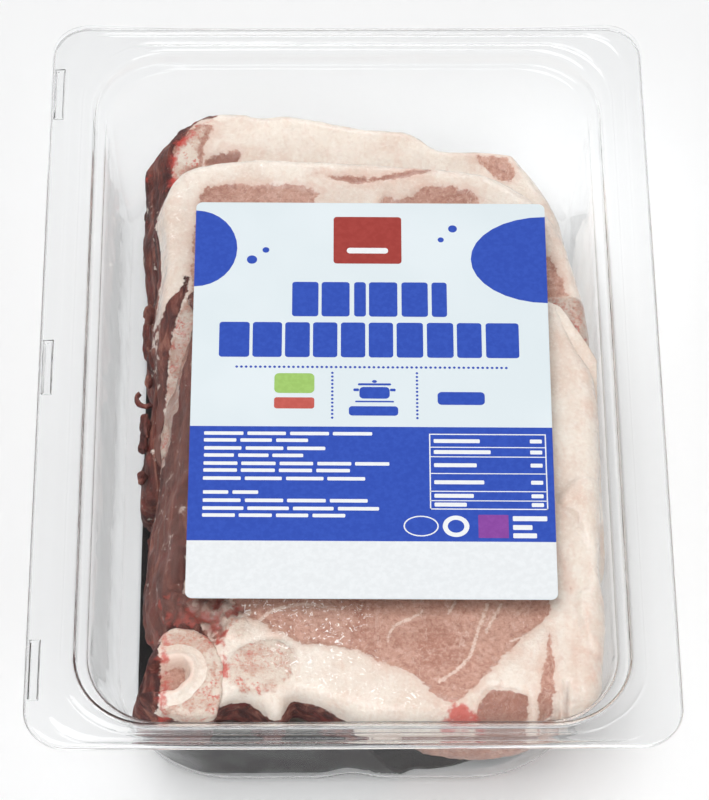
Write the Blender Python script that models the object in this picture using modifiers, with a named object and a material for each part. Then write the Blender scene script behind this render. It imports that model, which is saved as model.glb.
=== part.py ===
"""A sealed clear tray of four pork chops: tray, lid film, paper label, soaking pad, chops and a bone.

Metres, +Z up, +X to the pack's right, +Y to its rear. The origin is on the surface that the pack
stands on, under the middle of its bounding box.
"""

import math

import bmesh
import bpy
from mathutils import Vector

MM = 0.001

# Pack: outer rim, wall gauge and the level of the rim's top face.
PACK_WIDTH = 178.0 * MM
PACK_LENGTH = 247.2 * MM
RIM_TOP = 49.4 * MM
TRAY_WALL = 0.8 * MM
CORNER_FLARE = 2.8 * MM
FLARE_POWER = 3

# Tray base: a rounded rectangle with an arched channel under its middle, from front to rear.
BASE_WIDTH = 132.4 * MM
BASE_LENGTH = 217.2 * MM
BASE_CORNER = 33.0 * MM
BASE_BEND = 5.0 * MM
CHANNEL_HALF = 10.0 * MM
CHANNEL_RISE = 3.0 * MM
CHANNEL_FADE = 12.0 * MM

# Ledge below the rim, where stacked empty trays would stop. Its step is (outward shift, drop) pairs.
LEDGE_WIDTH = 147.2 * MM
LEDGE_LENGTH = 227.0 * MM
LEDGE_DROP = 5.0 * MM
LEDGE_CORNER = 21.5 * MM
LEDGE_STEP = ((2.0 * MM, -0.7 * MM), (1.2 * MM, -0.1 * MM), (0.0, 0.0), (-0.7 * MM, 1.0 * MM))

# Sealing rim: ring grooves and the rounded inner edge, by their distance in from the sides and
# from the ends. The edge's bend is (inward shift, drop) pairs.
GROOVE_DEPTH = 0.45 * MM
GROOVE_HALF = 0.8 * MM
OUTER_GROOVE = (5.4 * MM, 2.1 * MM)
INNER_GROOVE = (9.4 * MM, 4.6 * MM)
RIM_EDGE = (12.2 * MM, 7.0 * MM)
RIM_EDGE_BEND = ((-1.0 * MM, 0.0), (0.2 * MM, 0.4 * MM), (0.8 * MM, 1.6 * MM))
OUTER_CORNER = 12.0 * MM
OUTER_GROOVE_CORNER = 13.0 * MM
INNER_GROOVE_CORNER = 21.0 * MM
RIM_EDGE_CORNER = 22.0 * MM
LIP_DROP = 0.3 * MM
LIP_WIDTH = 0.9 * MM
LIP_TURN = 0.2 * MM

# Clip marks pressed into the left margin by the forming line.
CLIP_MARK_SIZE = (3.2 * MM, 19.4 * MM, 0.9 * MM)
CLIP_MARK_STEP = 99.5 * MM
CLIP_MARK_SINK = 0.5 * MM
CLIP_MARK_INSET = 1.1 * MM

# Lid film, label and the clearance that touching sheets keep.
GAP = 0.3 * MM
FILM_GAUGE = 0.4 * MM
LABEL_GAUGE = 0.3 * MM
LABEL_SIZE = (102.3 * MM, 135.6 * MM)
LABEL_CENTRE = (5.8 * MM, -10.5 * MM)
LABEL_TURN_DEG = -0.5
LABEL_CORNER = 2.0 * MM

# Soaking pad, with its front left edge turned up against the tray.
PAD_SIZE = (121.0 * MM, 207.0 * MM)
PAD_GAUGE = 1.6 * MM
PAD_TURN_UP = 13.0 * MM
PAD_TURN_LENGTH = 6.0 * MM
PAD_TURN_FADE = (5.0 * MM, 22.0 * MM)
PAD_TURN_LEAN = 1.6 * MM
PAD_STRAIGHT = 34.0 * MM
PAD_CORNER_CUT = 0.11

# Levels of the two tiers of chops.
CHOP_FLOOR = 6.6 * MM
LOWER_TOP = 26.0 * MM
TIER_GAP = 0.8 * MM
UPPER_TOP = 45.4 * MM
SCARF_START = -14.0 * MM
SCARF_END = 30.0 * MM
SCARF_RISE = 15.5 * MM
REAR_LIFT = 4.0 * MM
REAR_LIFT_SPAN = (84.0 * MM, 104.0 * MM)
MIDDLE_DROP = 2.6 * MM
RIPPLE = 0.5 * MM
RIPPLE_WAVES = (17.0 * MM, 21.0 * MM)
RIPPLE_ROOM = 1.0 * MM
WALL_CLEAR = 0.7 * MM

# Plan of each chop. A swell is (waves round the outline, height, phase in degrees).
REAR_CHOP = {
    "centre": (3.5 * MM, 68.0 * MM),
    "half": (64.0 * MM, 41.0 * MM),
    "power": 5.2,
    "skew": -0.14,
    "lean": 1.5 * MM,
}
LOWER_CHOP = {
    "centre": (6.0 * MM, -35.5 * MM),
    "half": (68.0 * MM, 60.5 * MM),
    "power": 7.0,
    "lean": 1.5 * MM,
}
MIDDLE_CHOP = {
    "centre": (8.5 * MM, 42.5 * MM),
    "half": (62.0 * MM, 39.5 * MM),
    "power": 3.8,
    "skew": -0.14,
    "swells": ((3, 1.2 * MM, 40.0), (5, 0.8 * MM, 100.0)),
    "lean": 6.0 * MM,
}
FRONT_CHOP = {
    "centre": (9.0 * MM, -41.0 * MM),
    "half": (60.0 * MM, 68.5 * MM),
    "power": 6.5,
    "swells": ((3, 0.8 * MM, 200.0), (6, 0.6 * MM, 20.0)),
    "lean": 6.0 * MM,
}

# Chine bone at the front chop's left corner, with the spinal canal in its sawn face.
BONE_CENTRE = (-44.5 * MM, -96.0 * MM)
BONE_HALF = (11.5 * MM, 10.0 * MM)
BONE_POWER = 2.4
BONE_WINGS = ((3, 1.6 * MM, 75.0), (2, 0.8 * MM, 20.0))
BONE_LIFT = 1.0 * MM
BONE_PROUD = 0.3 * MM
CANAL_CENTRE = (-41.0 * MM, -94.0 * MM)
CANAL_DEPTH = 2.2 * MM
CANAL_SPAN = (1.5 * MM, 5.0 * MM)
SOCKET_SPARE = 5.0 * MM
BONE_ROUND = 0.3

# Mesh density.
CORNER_STEPS = 8
SIDE_STEPS = 6
CHOP_STEPS = 48
BONE_STEPS = 28

PARTS_NAME = "meat_tray_pack"


def clear_scene():
    for obj in list(bpy.data.objects):
        bpy.data.objects.remove(obj, do_unlink=True)


def new_collection(name):
    collection = bpy.data.collections.new(name)
    bpy.context.scene.collection.children.link(collection)
    return collection


def material(name, colour, roughness, alpha=1.0):
    """A Principled material; alpha under 1 is a clear plastic."""
    mat = bpy.data.materials.new(name)
    mat.use_nodes = True
    shader = mat.node_tree.nodes["Principled BSDF"]
    shader.inputs["Base Color"].default_value = (*colour, 1.0)
    shader.inputs["Roughness"].default_value = roughness
    shader.inputs["Metallic"].default_value = 0.0
    shader.inputs["Alpha"].default_value = alpha
    return mat


def add_object(name, mesh_data, mat, collection):
    mesh = bpy.data.meshes.new(name)
    mesh_data.to_mesh(mesh)
    mesh_data.free()
    obj = bpy.data.objects.new(name, mesh)
    obj.data.materials.append(mat)
    collection.objects.link(obj)
    return obj


def give_gauge(obj, thickness, offset):
    """Solidify a sheet; offset 1 grows it along its normals and -1 against them."""
    solidify = obj.modifiers.new("gauge", "SOLIDIFY")
    solidify.thickness = thickness
    solidify.offset = offset
    solidify.use_even_offset = True


def smooth(start, end, value):
    """0 below start, 1 above end, and a smooth step between them."""
    t = min(max((value - start) / (end - start), 0.0), 1.0)
    return t * t * (3.0 - 2.0 * t)


def channel(x):
    """Height of the arched channel under the base, across its width."""
    if abs(x) >= CHANNEL_HALF:
        return 0.0
    return CHANNEL_RISE * 0.5 * (1.0 + math.cos(math.pi * x / CHANNEL_HALF))


def arc(centre, radius, start_deg, steps):
    """Points of a quarter circle, both ends among them."""
    points = []
    for i in range(steps + 1):
        angle = math.radians(start_deg + 90.0 * i / steps)
        points.append((centre[0] + radius * math.cos(angle), centre[1] + radius * math.sin(angle)))
    return points


def end_stations(reach):
    """X values along a straight end, with fixed ones over the channel."""
    outer = (CHANNEL_HALF + reach) / 2
    inner = CHANNEL_HALF / 2
    return [outer, CHANNEL_HALF, inner, 0.0, -inner, -CHANNEL_HALF, -outer]


def side_stations(reach):
    return [reach * (1.0 - 2.0 * i / SIDE_STEPS) for i in range(1, SIDE_STEPS)]


def ring(half_x, half_y, radius, flare=0.0):
    """A rounded rectangle, counter-clockwise from its lower right, with the rear corners flared."""
    straight_x = half_x - radius
    straight_y = half_y - radius
    points = [(half_x, -y) for y in side_stations(straight_y)]
    points += arc((straight_x, straight_y), radius, 0.0, CORNER_STEPS)
    points += [(x, half_y) for x in end_stations(straight_x)]
    points += arc((-straight_x, straight_y), radius, 90.0, CORNER_STEPS)
    points += [(-half_x, y) for y in side_stations(straight_y)]
    points += arc((-straight_x, -straight_y), radius, 180.0, CORNER_STEPS)
    points += [(-x, -half_y) for x in end_stations(straight_x)]
    points += arc((straight_x, -straight_y), radius, 270.0, CORNER_STEPS)
    flared = []
    for x, y in points:
        push = flare * abs(x / half_x) ** FLARE_POWER * smooth(0.6 * half_y, half_y, y)
        flared.append((x, y + push))
    return flared


def rim_ring(inset, radius, flare=0.0):
    """A ring of the sealing rim, at its insets from the sides and from the ends."""
    return ring(PACK_WIDTH / 2 - inset[0], PACK_LENGTH / 2 - inset[1], radius, flare)


def tray_rings():
    """(ring, height) pairs of the tray's outer face, from the lip down to the base."""
    under = RIM_TOP - TRAY_WALL
    rings = [
        (rim_ring((LIP_TURN, LIP_TURN), OUTER_CORNER, CORNER_FLARE), under - LIP_DROP),
        (rim_ring((LIP_WIDTH, LIP_WIDTH), OUTER_CORNER, CORNER_FLARE), under),
    ]
    for inset, radius, flare in (
        (OUTER_GROOVE, OUTER_GROOVE_CORNER, 0.6 * CORNER_FLARE),
        (INNER_GROOVE, INNER_GROOVE_CORNER, 0.0),
    ):
        for shift, depth in ((-GROOVE_HALF, 0.0), (0.0, GROOVE_DEPTH), (GROOVE_HALF, 0.0)):
            place = (inset[0] + shift, inset[1] + shift)
            rings.append((rim_ring(place, radius, flare), under - depth))
    for shift, drop in RIM_EDGE_BEND:
        place = (RIM_EDGE[0] + shift, RIM_EDGE[1] + shift)
        rings.append((rim_ring(place, RIM_EDGE_CORNER), under - drop))
    half_x = LEDGE_WIDTH / 2
    half_y = LEDGE_LENGTH / 2
    ledge = under - LEDGE_DROP
    for shift, drop in LEDGE_STEP:
        rings.append((ring(half_x + shift, half_y + shift, LEDGE_CORNER), ledge - drop))
    shift, drop = LEDGE_STEP[-1]
    rings += wall_rings(half_x + shift, half_y + shift, ledge - drop)
    return rings


def wall_rings(top_x, top_y, top_z):
    """The sloping wall from under the ledge to the base, and the bend at its foot."""
    rings = []
    for t in (0.33, 0.67, 1.0):
        half_x = top_x + t * (BASE_WIDTH / 2 - top_x)
        half_y = top_y + t * (BASE_LENGTH / 2 - top_y)
        radius = LEDGE_CORNER + t * (BASE_CORNER - LEDGE_CORNER)
        rings.append((ring(half_x, half_y, radius), top_z + t * (BASE_BEND - top_z)))
    for degrees in (35.0, 65.0, 90.0):
        turn = math.radians(degrees)
        inset = BASE_BEND * (1.0 - math.cos(turn))
        height = BASE_BEND * (1.0 - math.sin(turn))
        foot = ring(BASE_WIDTH / 2 - inset, BASE_LENGTH / 2 - inset, BASE_CORNER - inset)
        rings.append((foot, height))
    return rings


def lift_over_channel(x, z):
    return z + channel(x) * (1.0 - smooth(0.0, CHANNEL_FADE, z))


def floor_grid(mesh, border):
    """Fills the base with rows between facing points of its ring, so that the channel stays crisp."""
    count = len(border)
    half_corner = CORNER_STEPS // 2
    end_span = 2 * half_corner + 8
    side_span = 2 * half_corner + SIDE_STEPS
    first = SIDE_STEPS - 1 + half_corner
    rear = [border[(first + i) % count] for i in range(end_span + 1)]
    left = [border[(first + end_span + i) % count] for i in range(side_span + 1)]
    front = [border[(first + end_span + side_span + i) % count] for i in range(end_span + 1)]
    right = [border[(first + 2 * end_span + side_span + i) % count] for i in range(side_span + 1)]
    rows = [rear]
    for j in range(1, side_span):
        v = j / side_span
        row = [left[j]]
        row_left, row_right = left[j].co, right[side_span - j].co
        inner = []
        for i in range(1, end_span):
            u = i / end_span
            top, low = rear[i].co, front[end_span - i].co
            corners = (1 - u) * (1 - v) * rear[0].co + u * (1 - v) * rear[end_span].co
            corners = corners + (1 - u) * v * front[end_span].co + u * v * front[0].co
            place = (1 - v) * top + v * low + (1 - u) * row_right + u * row_left - corners
            inner.append(mesh.verts.new((place.x, place.y, channel(place.x))))
        row = [right[side_span - j]] + inner + [left[j]]
        rows.append(row)
    rows.append(front[::-1])
    for upper, lower in zip(rows, rows[1:]):
        for i in range(end_span):
            mesh.faces.new((upper[i], upper[i + 1], lower[i + 1], lower[i]))


def clip_mark(index, collection):
    """A helper for one pressed rectangle under the left margin, which is joined to the tray."""
    mesh = bmesh.new()
    bmesh.ops.create_cube(mesh, size=1.0)
    bmesh.ops.scale(mesh, vec=Vector(CLIP_MARK_SIZE), verts=mesh.verts)
    x = -PACK_WIDTH / 2 + CLIP_MARK_INSET + CLIP_MARK_SIZE[0] / 2
    z = RIM_TOP - TRAY_WALL - CLIP_MARK_SINK + CLIP_MARK_SIZE[2] / 2
    bmesh.ops.translate(mesh, vec=Vector((x, index * CLIP_MARK_STEP, z)), verts=mesh.verts)
    bmesh.ops.bevel(mesh, geom=list(mesh.edges), offset=0.25 * MM, segments=1, affect="EDGES")
    data = bpy.data.meshes.new(f"clip_mark_{index + 1}")
    mesh.to_mesh(data)
    mesh.free()
    mark = bpy.data.objects.new(data.name, data)
    mark.hide_render = True
    mark.display_type = "WIRE"
    collection.objects.link(mark)
    return mark


def build_tray(parts, helpers, mat):
    mesh = bmesh.new()
    loops = []
    for points, height in tray_rings():
        loops.append([mesh.verts.new((x, y, lift_over_channel(x, height))) for x, y in points])
    for outer, inner in zip(loops, loops[1:]):
        count = len(outer)
        for i in range(count):
            after = (i + 1) % count
            mesh.faces.new((outer[i], outer[after], inner[after], inner[i]))
    floor_grid(mesh, loops[-1])
    bmesh.ops.recalc_face_normals(mesh, faces=mesh.faces)
    if min(mesh.faces, key=lambda face: face.calc_center_median().z).normal.z < 0:
        bmesh.ops.reverse_faces(mesh, faces=mesh.faces)
    tray = add_object("tray", mesh, mat, parts)
    give_gauge(tray, TRAY_WALL, 1.0)
    for index in (-1, 0, 1):
        union = tray.modifiers.new(f"clip mark {index + 2}", "BOOLEAN")
        union.operation = "UNION"
        union.object = clip_mark(index, helpers)
    tray.data.shade_smooth()
    return tray


def flat_sheet(name, outline, level, gauge, mat, parts):
    """A flat sheet of this gauge standing on this level."""
    mesh = bmesh.new()
    face = mesh.faces.new([mesh.verts.new((x, y, level)) for x, y in outline])
    if face.normal.z < 0 or face.calc_area() < 0:
        face.normal_flip()
    face.normal_update()
    sheet = add_object(name, mesh, mat, parts)
    give_gauge(sheet, gauge, 1.0)
    return sheet


def build_lid_film(parts, mat):
    outline = rim_ring((0.0, 0.0), OUTER_CORNER, CORNER_FLARE)
    return flat_sheet("lid_film", outline, RIM_TOP + GAP, FILM_GAUGE, mat, parts)


def build_label(parts, mat):
    half_x = LABEL_SIZE[0] / 2
    half_y = LABEL_SIZE[1] / 2
    turn = math.radians(LABEL_TURN_DEG)
    outline = []
    for start, sign_x, sign_y in ((0.0, 1, 1), (90.0, -1, 1), (180.0, -1, -1), (270.0, 1, -1)):
        centre = (sign_x * (half_x - LABEL_CORNER), sign_y * (half_y - LABEL_CORNER))
        outline += arc(centre, LABEL_CORNER, start, 4)
    turned = []
    for x, y in outline:
        turned_x = LABEL_CENTRE[0] + x * math.cos(turn) - y * math.sin(turn)
        turned_y = LABEL_CENTRE[1] + x * math.sin(turn) + y * math.cos(turn)
        turned.append((turned_x, turned_y))
    level = RIM_TOP + GAP + FILM_GAUGE + GAP
    return flat_sheet("label", turned, level, LABEL_GAUGE, mat, parts)


def inner_half_sizes(z):
    """Half width, half length and corner radius of the tray's inner face at this height."""
    top = RIM_TOP - TRAY_WALL - LEDGE_DROP - LEDGE_STEP[-1][1]
    t = min(max((z - BASE_BEND) / (top - BASE_BEND), 0.0), 1.0)
    sink = min(max(1.0 - (z - TRAY_WALL) / BASE_BEND, 0.0), 1.0)
    inset = TRAY_WALL + BASE_BEND * (1.0 - math.sqrt(1.0 - sink**2))
    half_x = BASE_WIDTH / 2 + t * (LEDGE_WIDTH - BASE_WIDTH) / 2 - inset
    half_y = BASE_LENGTH / 2 + t * (LEDGE_LENGTH - BASE_LENGTH) / 2 - inset
    return half_x, half_y, BASE_CORNER + t * (LEDGE_CORNER - BASE_CORNER) - inset


def keep_inside(x, y, z):
    """Pulls a point back to just inside the tray's wall, as meat pressed against it is."""
    half_x, half_y, radius = inner_half_sizes(z)
    radius -= WALL_CLEAR
    over_x = abs(x) - (half_x - WALL_CLEAR - radius)
    over_y = abs(y) - (half_y - WALL_CLEAR - radius)
    reach = math.hypot(max(over_x, 0.0), max(over_y, 0.0))
    if reach <= radius:
        return x, y
    shrink = 1.0 - radius / reach
    return (
        x - math.copysign(max(over_x, 0.0) * shrink, x),
        y - math.copysign(max(over_y, 0.0) * shrink, y),
    )


def build_soak_pad(parts, mat):
    mesh = bmesh.new()
    bmesh.ops.create_grid(mesh, x_segments=24, y_segments=18, size=0.5)
    under = TRAY_WALL + 2.0 * GAP
    for vert in mesh.verts:
        x = vert.co.x * PAD_SIZE[0]
        y = vert.co.y * PAD_SIZE[1]
        corner = max(abs(x) - PAD_STRAIGHT, 0.0) / (PAD_SIZE[0] / 2 - PAD_STRAIGHT)
        y *= 1.0 - PAD_CORNER_CUT * corner**2
        left = 1.0 - smooth(PAD_TURN_FADE[0], PAD_TURN_FADE[1], x)
        turn = left * max(-y - PAD_SIZE[1] / 2 + PAD_TURN_LENGTH, 0.0) / PAD_TURN_LENGTH
        z = under + channel(x) + PAD_TURN_UP * turn**1.5
        x, y = keep_inside(x, y - PAD_TURN_LEAN * turn, z)
        vert.co = (x, y, z)
    pad = add_object("soak_pad", mesh, mat, parts)
    give_gauge(pad, PAD_GAUGE, 1.0)
    return pad


class Chop:
    """The plan of one chop: a rounded outline with a few swells, its left side leaning out."""

    def __init__(self, centre, half, power, skew=0.0, swells=(), lean=0.0):
        self.centre = centre
        self.half = half
        self.power = power
        self.skew = skew
        self.swells = swells
        self.lean = lean

    def point(self, angle, fraction, height):
        """Plan place at this angle, this share of the way out, and this share of the chop's height."""
        across = abs(math.cos(angle) / self.half[0]) ** self.power
        along = abs(math.sin(angle) / self.half[1]) ** self.power
        reach = (across + along) ** (-1.0 / self.power)
        for waves, size, phase_deg in self.swells:
            reach += size * math.cos(waves * angle + math.radians(phase_deg))
        x = reach * math.cos(angle)
        y = reach * math.sin(angle) + self.skew * x * max(math.sin(angle), 0.0)
        x -= self.lean * (1.0 - height) * max(-math.cos(angle), 0.0)
        return self.centre[0] + fraction * x, self.centre[1] + fraction * y


def build_slab(name, plan, bottom, top, steps, mat, parts, round_share=0.35):
    """A closed slab between two height functions, its rim rounded over."""
    rim = ((0.30, 0.0), (0.62, 0.0), (0.86, 0.02), (0.955, 0.10), (0.99, round_share))
    levels = list(rim) + [(1.0, 0.5)] + [(out, 1.0 - high) for out, high in reversed(rim)]
    mesh = bmesh.new()
    loops = []
    for out, high in levels:
        loop = []
        for i in range(steps):
            angle = 2.0 * math.pi * i / steps
            x, y = plan.point(angle, out, high)
            low = bottom(x, y)
            z = low + high * (top(x, y) - low)
            x, y = keep_inside(x, y, z)
            loop.append(mesh.verts.new((x, y, z)))
        loops.append(loop)
    for lower, upper in zip(loops, loops[1:]):
        for i in range(steps):
            after = (i + 1) % steps
            mesh.faces.new((lower[i], lower[after], upper[after], upper[i]))
    x, y = plan.centre
    foot = mesh.verts.new((x, y, bottom(x, y)))
    peak = mesh.verts.new((x, y, top(x, y)))
    for i in range(steps):
        after = (i + 1) % steps
        mesh.faces.new((foot, loops[0][after], loops[0][i]))
        mesh.faces.new((peak, loops[-1][i], loops[-1][after]))
    bmesh.ops.recalc_face_normals(mesh, faces=mesh.faces)
    slab = add_object(name, mesh, mat, parts)
    slab.data.shade_smooth()
    return slab


def on_floor(x, y):
    return CHOP_FLOOR


def scarf(y):
    """The slanting seam where the front chop's rear lies over the middle chop's front."""
    return LOWER_TOP + TIER_GAP + SCARF_RISE * smooth(SCARF_START, SCARF_END, y)


def ripple(x, y, size):
    """A low wave that keeps a cut face from being dead flat."""
    return size * math.sin(x / RIPPLE_WAVES[0]) * math.cos(y / RIPPLE_WAVES[1])


def rear_top(x, y):
    lift = REAR_LIFT * smooth(REAR_LIFT_SPAN[0], REAR_LIFT_SPAN[1], y)
    return LOWER_TOP - RIPPLE_ROOM + lift + ripple(x, y, RIPPLE)


def lower_top(x, y):
    return LOWER_TOP - RIPPLE_ROOM + ripple(x, y, RIPPLE)


def on_lower_tier(x, y):
    return LOWER_TOP + TIER_GAP


def middle_top(x, y):
    surface = UPPER_TOP - MIDDLE_DROP + ripple(x, y, RIPPLE)
    return min(surface, scarf(y) - TIER_GAP)


def front_bottom(x, y):
    return scarf(y)


def front_top(x, y):
    return UPPER_TOP - RIPPLE_ROOM + ripple(x, y, RIPPLE)


def build_chops(parts, lean, fat):
    sides = {"steps": CHOP_STEPS, "parts": parts}
    build_slab("chop_rear", Chop(**REAR_CHOP), on_floor, rear_top, mat=fat, **sides)
    build_slab("chop_lower", Chop(**LOWER_CHOP), on_floor, lower_top, mat=fat, **sides)
    build_slab("chop_middle", Chop(**MIDDLE_CHOP), on_lower_tier, middle_top, mat=lean, **sides)
    return build_slab("chop_front", Chop(**FRONT_CHOP), front_bottom, front_top, mat=lean, **sides)


def bone_plan(grow):
    """The chine bone's plan: a body with three short wings, grown all round by this much."""
    half = (BONE_HALF[0] + grow, BONE_HALF[1] + grow)
    return Chop(BONE_CENTRE, half, BONE_POWER, swells=BONE_WINGS)


def bone_bottom(x, y):
    return LOWER_TOP + TIER_GAP + BONE_LIFT


def bone_top(x, y):
    """A nearly flat sawn face with the canal sunk in its middle."""
    away = math.hypot(x - CANAL_CENTRE[0], y - CANAL_CENTRE[1])
    canal = CANAL_DEPTH * (1.0 - smooth(CANAL_SPAN[0], CANAL_SPAN[1], away))
    return UPPER_TOP + BONE_PROUD - canal


def socket_bottom(x, y):
    return LOWER_TOP - SOCKET_SPARE


def socket_top(x, y):
    return UPPER_TOP + SOCKET_SPARE


def build_bone(parts, helpers, front, mat):
    sides = {"steps": BONE_STEPS, "mat": mat, "round_share": BONE_ROUND}
    bone = build_slab("chine_bone", bone_plan(0.0), bone_bottom, bone_top, parts=parts, **sides)
    wide = bone_plan(2.0 * GAP)
    cutter = build_slab("bone_socket", wide, socket_bottom, socket_top, parts=helpers, **sides)
    cutter.hide_render = True
    cutter.display_type = "WIRE"
    socket = front.modifiers.new("bone socket", "BOOLEAN")
    socket.operation = "DIFFERENCE"
    socket.object = cutter
    return bone


def centre_on_stand(objects):
    """Parents everything to one empty that puts the middle of the pack's box at the origin."""
    half_x = PACK_WIDTH / 2
    flared = CORNER_FLARE * ((half_x - OUTER_CORNER) / half_x) ** FLARE_POWER
    stand = bpy.data.objects.new("stand", None)
    stand.location = (0.0, -flared / 2, 0.0)
    bpy.context.scene.collection.objects.link(stand)
    for obj in objects:
        obj.parent = stand


def build_pack():
    clear_scene()
    parts = new_collection(PARTS_NAME)
    helpers = new_collection("cutters")
    clear_plastic = material("clear_plastic", (0.92, 0.94, 0.95), 0.08, alpha=0.35)
    film = material("film", (0.94, 0.95, 0.96), 0.05, alpha=0.25)
    paper = material("label_paper", (0.86, 0.91, 0.95), 0.35)
    pad_cloth = material("pad_cloth", (0.018, 0.012, 0.012), 0.7)
    lean = material("lean_meat", (0.55, 0.29, 0.24), 0.4)
    fat = material("fat", (0.84, 0.74, 0.66), 0.4)
    bone = material("bone", (0.66, 0.42, 0.35), 0.5)
    build_tray(parts, helpers, clear_plastic)
    build_lid_film(parts, film)
    build_label(parts, paper)
    build_soak_pad(parts, pad_cloth)
    front = build_chops(parts, lean, fat)
    build_bone(parts, helpers, front, bone)
    centre_on_stand(list(parts.objects) + list(helpers.objects))


build_pack()
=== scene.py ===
"""Looks of the meat tray pack: clear formed tray, lid film, printed label and raw chops.

Metres, +Z up. Sizes and places are in millimetres times MM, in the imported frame.
"""

import math

import bpy
import numpy as np
from mathutils import Matrix, Vector, noise


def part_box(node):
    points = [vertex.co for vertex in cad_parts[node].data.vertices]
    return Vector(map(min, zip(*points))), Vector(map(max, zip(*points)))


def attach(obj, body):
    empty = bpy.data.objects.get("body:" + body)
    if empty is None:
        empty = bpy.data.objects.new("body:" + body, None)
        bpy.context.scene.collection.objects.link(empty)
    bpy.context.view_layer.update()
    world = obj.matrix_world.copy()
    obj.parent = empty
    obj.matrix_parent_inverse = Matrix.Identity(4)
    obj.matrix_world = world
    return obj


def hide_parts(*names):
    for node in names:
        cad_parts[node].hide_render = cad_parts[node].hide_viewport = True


MM = 0.001

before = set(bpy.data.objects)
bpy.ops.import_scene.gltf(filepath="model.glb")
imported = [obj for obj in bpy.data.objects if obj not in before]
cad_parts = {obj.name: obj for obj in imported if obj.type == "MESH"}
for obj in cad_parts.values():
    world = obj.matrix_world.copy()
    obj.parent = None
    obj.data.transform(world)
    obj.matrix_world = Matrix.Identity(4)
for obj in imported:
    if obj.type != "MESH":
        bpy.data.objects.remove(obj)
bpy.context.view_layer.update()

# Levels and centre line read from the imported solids.
RIM_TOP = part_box("tray")[1].z
FILM_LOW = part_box("lid_film")[0].z
LABEL_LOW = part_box("label")[0].z
PACK_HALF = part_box("lid_film")[1].x
PACK_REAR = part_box("lid_film")[1].y
PACK_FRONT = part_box("lid_film")[0].y
FLARE = 1.81 * MM
PACK_MID = (PACK_REAR - FLARE + PACK_FRONT) / 2
PACK_REACH = (PACK_REAR - FLARE - PACK_FRONT) / 2
CHOP_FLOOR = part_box("chop_lower")[0].z
UPPER_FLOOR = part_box("chop_front")[0].z

# Camera, fitted to the rim, the base and the label.
CAMERA_TARGET = Vector((1.1, -13.1, 50.0)) * MM
CAMERA_DISTANCE = 1066.0 * MM
CAMERA_ELEVATION = math.radians(56.0)
CAMERA_YAW = math.radians(-1.31)
CAMERA_ROLL = math.radians(0.97)
CAMERA_LENS = 112.66
SENSOR_HEIGHT = 24.0

# Light: the room's strength and greys, and each lamp's place, target, size in metres and watts.
WORLD_STRENGTH = 0.76
HORIZON_GREY = (150, 151, 152)
OVERHEAD_GREY = (176, 177, 178)
LAMPS = (
    ("key", (-0.35, -0.15, 1.45), (0.0, 0.0, 0.0), (1.2, 0.8), 9.0),
    ("front", (0.7, -1.35, 0.95), (0.0, -0.1, 0.0), (1.2, 0.7), 6.5),
    ("rear", (0.4, 1.75, 0.8), (0.0, 0.0, 0.0), (1.2, 0.5), 6.0),
)

# Clear plastics: tint, roughness, ripples per metre and their depth, and index of refraction low and high.
TRAY_PLASTIC = ((0.98, 0.983, 0.984, 1.0), 0.04, 45.0, 0.8 * MM, (1.14, 1.46))
FILM_PLASTIC = ((0.985, 0.988, 0.99, 1.0), 0.03, 30.0, 0.4 * MM, (1.2, 1.2))
INDEX_LEVELS = (40.0 * MM, 45.5 * MM)

# Tray: inset from the sides and from the ends, corner radius, drop below the rim's top and flare.
SHEET = 0.55 * MM
TRAY_RIM = (
    (0.65, 0.65, 11.6, 1.5, 1.0),
    (0.55, 0.55, 11.6, 1.1, 1.0),
    (0.75, 0.75, 11.6, 0.75, 1.0),
    (1.2, 1.1, 11.6, 0.6, 1.0),
    (4.3, 1.3, 13.0, 0.6, 0.6),
    (4.8, 1.6, 13.0, 0.75, 0.6),
    (5.4, 2.1, 13.0, 1.05, 0.6),
    (6.0, 2.6, 13.0, 0.75, 0.6),
    (6.5, 2.9, 13.4, 0.6, 0.5),
    (8.3, 3.5, 21.0, 0.6, 0.0),
    (8.8, 4.0, 21.0, 0.75, 0.0),
    (9.4, 4.6, 21.0, 1.1, 0.0),
    (10.0, 5.2, 21.0, 0.75, 0.0),
    (10.5, 5.6, 21.4, 0.6, 0.0),
    (11.6, 6.4, 22.0, 0.6, 0.0),
    (12.2, 7.0, 22.0, 0.85, 0.0),
    (12.7, 7.5, 22.0, 1.4, 0.0),
    (13.0, 7.8, 22.0, 2.6, 0.0),
)
LEDGE_HALF = (73.6 * MM, 113.5 * MM)
LEDGE_STEP = (
    (2.1, 4.2, 21.5),
    (1.9, 5.0, 21.5),
    (1.5, 5.5, 21.5),
    (1.0, 5.75, 21.5),
    (0.2, 5.85, 21.5),
    (-0.2, 6.05, 21.5),
    (-0.5, 6.4, 21.5),
    (-0.7, 6.9, 21.5),
)
BASE_HALF = (66.2 * MM, 108.6 * MM)
BASE_CORNER = 33.0 * MM
LEDGE_CORNER = 21.5 * MM
BASE_BEND = 5.0 * MM
CHANNEL_HALF = 10.0 * MM
CHANNEL_RISE = 3.0 * MM
CHANNEL_FADE = 12.0 * MM
CORNER_SEGMENTS = 14
ROW_GAP = 12.0
FLARE_PUSH = 2.8 * MM
CLIP_MARK_PLACES = (-99.5 * MM + PACK_MID, PACK_MID, 99.5 * MM + PACK_MID)
CLIP_MARK_HALF = 9.7 * MM
CLIP_MARK_BORDERS = (0.25 * MM, 0.3 * MM)
CLIP_MARK_DEPTH = 0.75 * MM

# Film.
FILM_CORNER = 12.0 * MM
FILM_GAUGE = 0.12 * MM
FILM_RIPPLE = 0.06 * MM

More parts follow.
